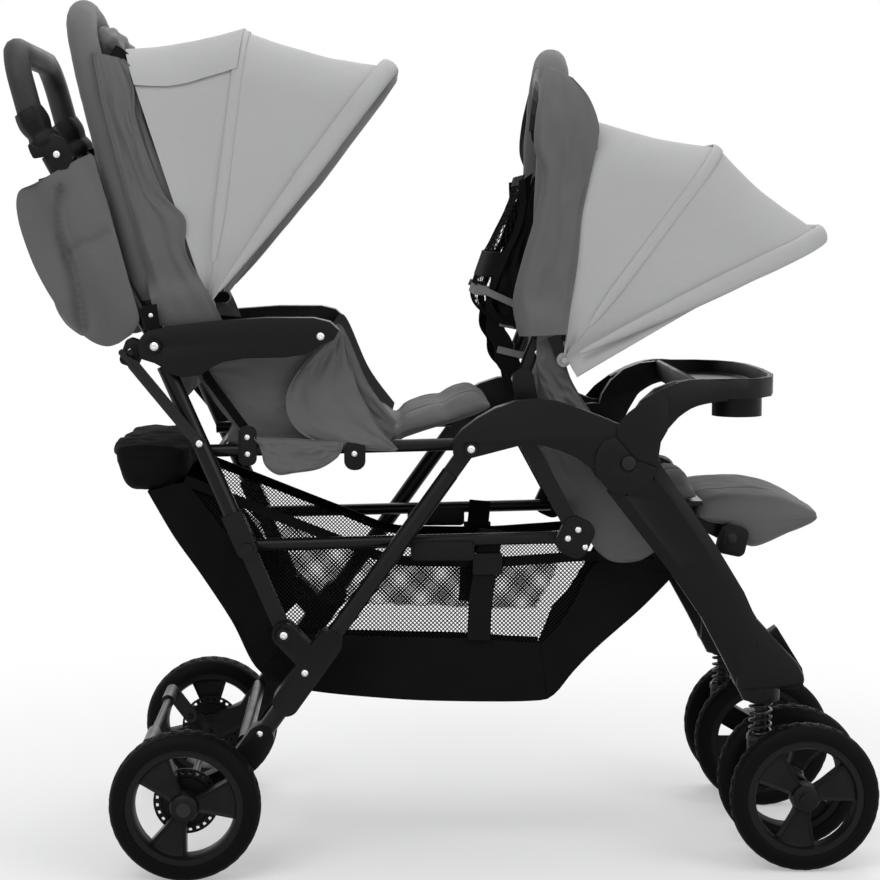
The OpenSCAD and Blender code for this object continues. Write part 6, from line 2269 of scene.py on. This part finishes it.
@dataclass
class TrayHubs:
    """The covers over the tray's hubs: a split disc round the button and the root of the tray's arm."""

    arm: Edge = (
        (0.2105, 0.5676), (0.2249, 0.5839), (0.2452, 0.5992), (0.2697, 0.6125), (0.2755, 0.59),
        (0.2739, 0.5614), (0.2657, 0.5471), (0.2637, 0.5328), (0.262, 0.516), (0.2354, 0.5262),
        (0.2105, 0.5545),
    )
    root: Edge = (
        (0.2452, 0.5992), (0.2575, 0.6063), (0.2697, 0.6125), (0.282, 0.6176), (0.2942, 0.6212),
        (0.3065, 0.6232), (0.3187, 0.6236), (0.336, 0.6226), (0.352, 0.621), (0.352, 0.596),
        (0.3385, 0.5945), (0.325, 0.5925), (0.3145, 0.5905), (0.3045, 0.587), (0.2962, 0.5823),
        (0.2882, 0.5768), (0.2808, 0.5692), (0.2745, 0.5622), (0.262, 0.58),
    )
    taper: Point = (0.255, 0.352)
    taper_out: float = 0.2012
    middle: Point = (0.2225, 0.5215)
    radius: float = 0.0388
    arc: Point = (-10.0, -226.0)
    split: Edge = ((0.2078, 0.5535), (0.2338, 0.5245))
    inner: float = 0.2267
    outer: float = 0.2287
    root_inner: float = 0.1985
    slack: float = 1.08
    pivot: Point = (0.219, 0.524)
    swing: tuple[float, ...] = (0.0, 8.0, 17.0, 25.5)
    arc_steps: int = 30

    def build(self) -> None:
        """Cuts the plates at both sides and opens them for the buttons."""
        step = (self.arc[1] - self.arc[0]) / self.arc_steps
        turns = [math.radians(self.arc[0] + step * i) for i in range(self.arc_steps + 1)]
        x, z = self.middle
        disc = [(x + self.radius * math.cos(t), z + self.radius * math.sin(t)) for t in turns]
        for side, sign in SIDES.items():
            near, far = sign * self.inner, sign * self.outer
            plates = [cut_plate(f"tray_arm_plate_{side}", self.arm, near, far),
                      cut_plate(f"tray_disc_{side}", [*disc, *self.split], near, far)]
            for plate in plates:
                self._open(plate, f"tray_button_{side}")
            root = cut_plate(f"tray_root_{side}", self.root, sign * self.root_inner, near + sign * 0.0008)
            for vertex in root.data.vertices:
                if abs(vertex.co.y) > self.inner:
                    share = clamp((vertex.co.x - self.taper[0]) / (self.taper[1] - self.taper[0]))
                    bend = 0.5 - 0.5 * math.cos(math.pi * share)
                    vertex.co.y -= sign * bend * (abs(vertex.co.y) - self.taper_out)
            cover = join(f"tray_hub_cover_{side}", [soften(piece, 0.0008) for piece in (*plates, root)])
            dress(cover, PLASTIC, "tray")

    def _open(self, plate: Piece, node: str) -> None:
        """Cuts out of a plate the room that a button takes while the tray turns.

        Args:
            plate: The plate to open.
            node: The button's CAD node.
        """
        low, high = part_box(node)
        middle = (low + high) / 2
        pivot = Vector((self.pivot[0], middle.y, self.pivot[1]))
        size = Matrix.Diagonal((self.slack, 4, self.slack, 1))
        grow = Matrix.Translation(middle) @ size @ Matrix.Translation(-middle)
        tools = []
        for turn in self.swing:
            spin = Matrix.Rotation(math.radians(turn), 4, "Y")
            tool = node_copy(node, f"{node}_tool")
            tool.data.transform(Matrix.Translation(pivot) @ spin @ Matrix.Translation(-pivot) @ grow)
            tools.append(tool)
        tool = join(f"{node}_tool", tools)
        with editing(tool):
            bpy.ops.mesh.select_all(action="SELECT")
            bpy.ops.mesh.convex_hull()
        modify(plate, "BOOLEAN", operation="DIFFERENCE", object=tool, solver="EXACT")
        bpy.data.objects.remove(tool)


@dataclass(frozen=True)
class Plate:
    """One small moulded plate at both sides: its place, size, turn and reach across."""

    name: str
    body: str
    middle: Point
    size: Point
    turn: float
    inner: float
    outer: float
    corner: float
    finish: Finish = PLASTIC


@dataclass
class Brackets:
    """The plates, clips and hinge covers that the tubes carry, and the piping on the seat's rear edge."""

    plates: tuple[Plate, ...] = (
        Plate("seat_bracket", "rear_seat", (-0.2493, 0.5385), (0.023, 0.05), 0, 0.1728, 0.178, 0.009),
        Plate("seat_clip", "rear_seat", (-0.1145, 0.5265), (0.027, 0.038), 0, 0.1728, 0.1785, 0.012),
        Plate("tail_block", "handle", (-0.3905, 0.657), (0.024, 0.034), 20, 0.17, 0.2, 0.007),
        Plate("foot_hinge", "footrest", (0.371, 0.41), (0.037, 0.038), 12, 0.122, 0.1365, 0.009),
        Plate("foot_button", "footrest", (0.369, 0.4135), (0.0135, 0.0135), 0, 0.136, 0.1385, 0.006, BUTTON),
        Plate("frame_lug", "front_frame", (0.162, 0.4245), (0.042, 0.05), 25, 0.19, 0.2045, 0.015),
        Plate("link_sleeve", "side_link", (-0.004, 0.404), (0.08, 0.024), 0, 0.155, 0.1768, 0.006),
    )
    piping_out: float = 0.1562
    piping: Edge = ((-0.312, 0.644), (-0.296, 0.618), (-0.276, 0.59), (-0.254, 0.56))

    def build(self) -> None:
        """Models each plate once and mirrors it."""
        for plate in self.plates:
            first = self._model(plate)
            other = copy_of(first, f"{plate.name}_left", Matrix.Scale(-1, 4, Vector((0, 1, 0))))
            for piece in (first, other):
                dress(piece, plate.finish, plate.body)
        for side, sign in SIDES.items():
            path = side_line(self.piping, sign * self.piping_out, 24)
            piping = strap(f"seat_piping_{side}", path, Vector((0.8, 0, 0.6)), 0.011, 0.005)
            dress(piping, BLACK_CLOTH, "rear_seat")

    @staticmethod
    def _model(plate: Plate) -> Piece:
        """Models a plate with round corners and a raised field.

        Args:
            plate: What to model.

        Returns:
            The plate at the near side.
        """
        place = (plate.middle[0], -(plate.inner + plate.outer) / 2, plate.middle[1])
        size = (plate.size[0], plate.outer - plate.inner, plate.size[1])
        piece = block(f"{plate.name}_right", place, size, plate.turn)
        with editing(piece, "EDGE") as mesh:
            for edge in mesh.edges:
                edge.select_set(abs((edge.verts[1].co - edge.verts[0].co).normalized().y) > 0.9)
            bmesh.update_edit_mesh(piece.data)
            bpy.ops.mesh.bevel(offset=plate.corner, segments=6, affect="EDGES")
        with editing(piece) as mesh:
            choose(piece, [f for f in mesh.faces if f.normal.y < -0.9])
            bpy.ops.mesh.inset(thickness=min(plate.size) * 0.13, depth=0.0)
            bpy.ops.mesh.extrude_region_move(TRANSFORM_OT_translate={"value": (0, -0.0008, 0)})
        return soften(piece, 0.0006)


@dataclass
class Fasteners:
    """The rivet heads on the frame's sides, each seated on the surface under it."""

    radius: float = 0.0047
    height: float = 0.0022
    sunk: float = 0.0004
    dome: Edge = (
        (0.0006, 0.0), (0.0005, 0.0008), (0.0011, 0.0005), (0.0009, 0.0002), (0.0004, -0.0005),
    )
    places: tuple[tuple[str, str, float, float, float], ...] = (
        ("handle", "handle_tubes", -0.361, 0.666, 1.1),
        ("handle", "tail_block", -0.392, 0.659, 0.7),
        ("handle", "storage_tab", -0.3675, 0.703, 0.6),
        ("upper_strut", "armrest", -0.156, 0.678, 1.0),
        ("rear_seat", "seat_bracket", -0.2496, 0.5496, 0.7),
        ("rear_seat", "seat_bracket", -0.2492, 0.5283, 0.7),
        ("rear_seat", "seat_clip", -0.115, 0.5285, 0.75),
        ("rear_frame", "pivot_pins", 0.03, 0.539, 1.0),
        ("rear_frame", "pivot_pins", -0.204, 0.303, 1.0),
        ("front_frame", "front_bridge", 0.1, 0.5445, 0.8),
        ("front_frame", "frame_lug", 0.1655, 0.4345, 0.8),
        ("front_frame", "frame_lug", 0.1526, 0.4235, 0.8),
        ("front_frame", "frame_lug", 0.174, 0.4125, 0.8),
        ("front_backrest", "front_hoop", 0.0987, 0.619, 1.1),
        ("front_backrest", "front_hoop", 0.117, 0.654, 0.8),
        ("upper_strut", "upper_struts", -0.307, 0.545, 0.9),
        ("side_link", "side_links", -0.248, 0.41, 0.8),
        ("rear_frame", "fold_hubs", -0.178, 0.254, 0.9),
        ("rear_frame", "rear_axle_housings", -0.2353, 0.1763, 0.8),
        ("fold_release", "release_lever", -0.4815, 0.902, 0.9),
    )

    def build(self) -> None:
        """Models one rivet head and seats a copy at each place on both sides."""
        head = self._head()
        made: dict[str, list[Piece]] = {}
        for body, node, x, z, size in self.places:
            for side, sign in SIDES.items():
                names = (f"{node}_{side}_moulding", f"{node}_moulding", f"{node}_{side}", node)
                carrier = next(bpy.data.objects[n] for n in names if n in bpy.data.objects)
                spot = self._seat(carrier, x, z, sign)
                if spot is None:
                    LOG.info("no seat for a rivet at %.3f, %.3f on %s", x, z, node)
                    continue
                move = (Matrix.Translation(spot - Vector((0, sign * self.sunk, 0)))
                        @ Matrix.Rotation(-sign * math.pi / 2, 4, "X") @ Matrix.Scale(size, 4))
                made.setdefault(body, []).append(copy_of(head, f"rivet_{len(made)}", move))
        for body, pieces in made.items():
            dress(join(f"rivets_{body}", pieces), RIVET, body)
        bpy.data.objects.remove(head)

    @staticmethod
    def _seat(carrier: Piece, x: float, z: float, sign: int) -> Vector | None:
        """Returns where a line from one side meets a piece."""
        data = carrier.data
        tree = BVHTree.FromPolygons([v.co for v in data.vertices], [p.vertices for p in data.polygons])
        return tree.ray_cast(Vector((x, sign * 0.5, z)), Vector((0, -sign, 0)))[0]

    def _head(self) -> Piece:
        """Models a domed rivet head with a flat rim and a set centre.

        Returns:
            The head, pointing along +Z from the origin.
        """
        bpy.ops.mesh.primitive_cylinder_add(vertices=28, radius=self.radius, depth=self.height * 0.4,
                                            location=(0, 0, self.height * 0.2))
        head = settle(active())
        with editing(head) as mesh:
            choose(head, [f for f in mesh.faces if f.normal.z > 0.9])
            for thickness, rise in self.dome:
                bpy.ops.mesh.inset(thickness=thickness, depth=rise)
        return smooth(modify(head, "BEVEL", width=0.0002, segments=2, limit_method="ANGLE",
                             angle_limit=math.radians(40)))


def main() -> None:
    """Builds every sub-assembly in order."""
    logging.basicConfig(level=logging.INFO, format="%(name)s: %(message)s")
    canopies = (
        Canopy("rear", (-0.298, 0.714), (108, 82.5, 52.7), 0.378, (0.884, 0.918, 0.995),
               ("rear_backrest", "rear_canopy_mid", "rear_canopy_front"), has_flap=True),
        Canopy("front", (0.15, 0.645), (84, 53.2, 25.5), 0.369, (0.83, 0.905, 0.995),
               ("front_backrest", "front_canopy_mid", "front_canopy_front"), hem_drop=0.026),
    )
    backs = (
        Backrest("rear", (-0.3716, 0.7087), 104, 0.389, REAR_COVER, REAR_LINING, 3.0, hinge=(-0.298, 0.714),
                 has_roll=True),
        Backrest("front", (0.124, 0.685), 87, 0.332, FRONT_COVER, FRONT_LINING, 5.0, hinge=(0.15, 0.648),
                 crown=0.008, slim=0.011, apron=FRONT_APRON),
    )
    parts = (
        Studio(), Mouldings(), Wheels(), *backs, *canopies, FrontPouch(), Seats(), Footrest(), StorageBag(),
        Handle(), TrayHubs(), Basket(), Springs(), Brackets(), Fasteners(),
    )
    for part in parts:
        known = set(bpy.data.objects)
        part.build()
        for piece in bpy.data.objects:
            if piece not in known and piece.type == "MESH":
                LOG.info("%s made %s, %d points", type(part).__name__, piece.name, len(piece.data.vertices))


if __name__ == "__main__":
    main()
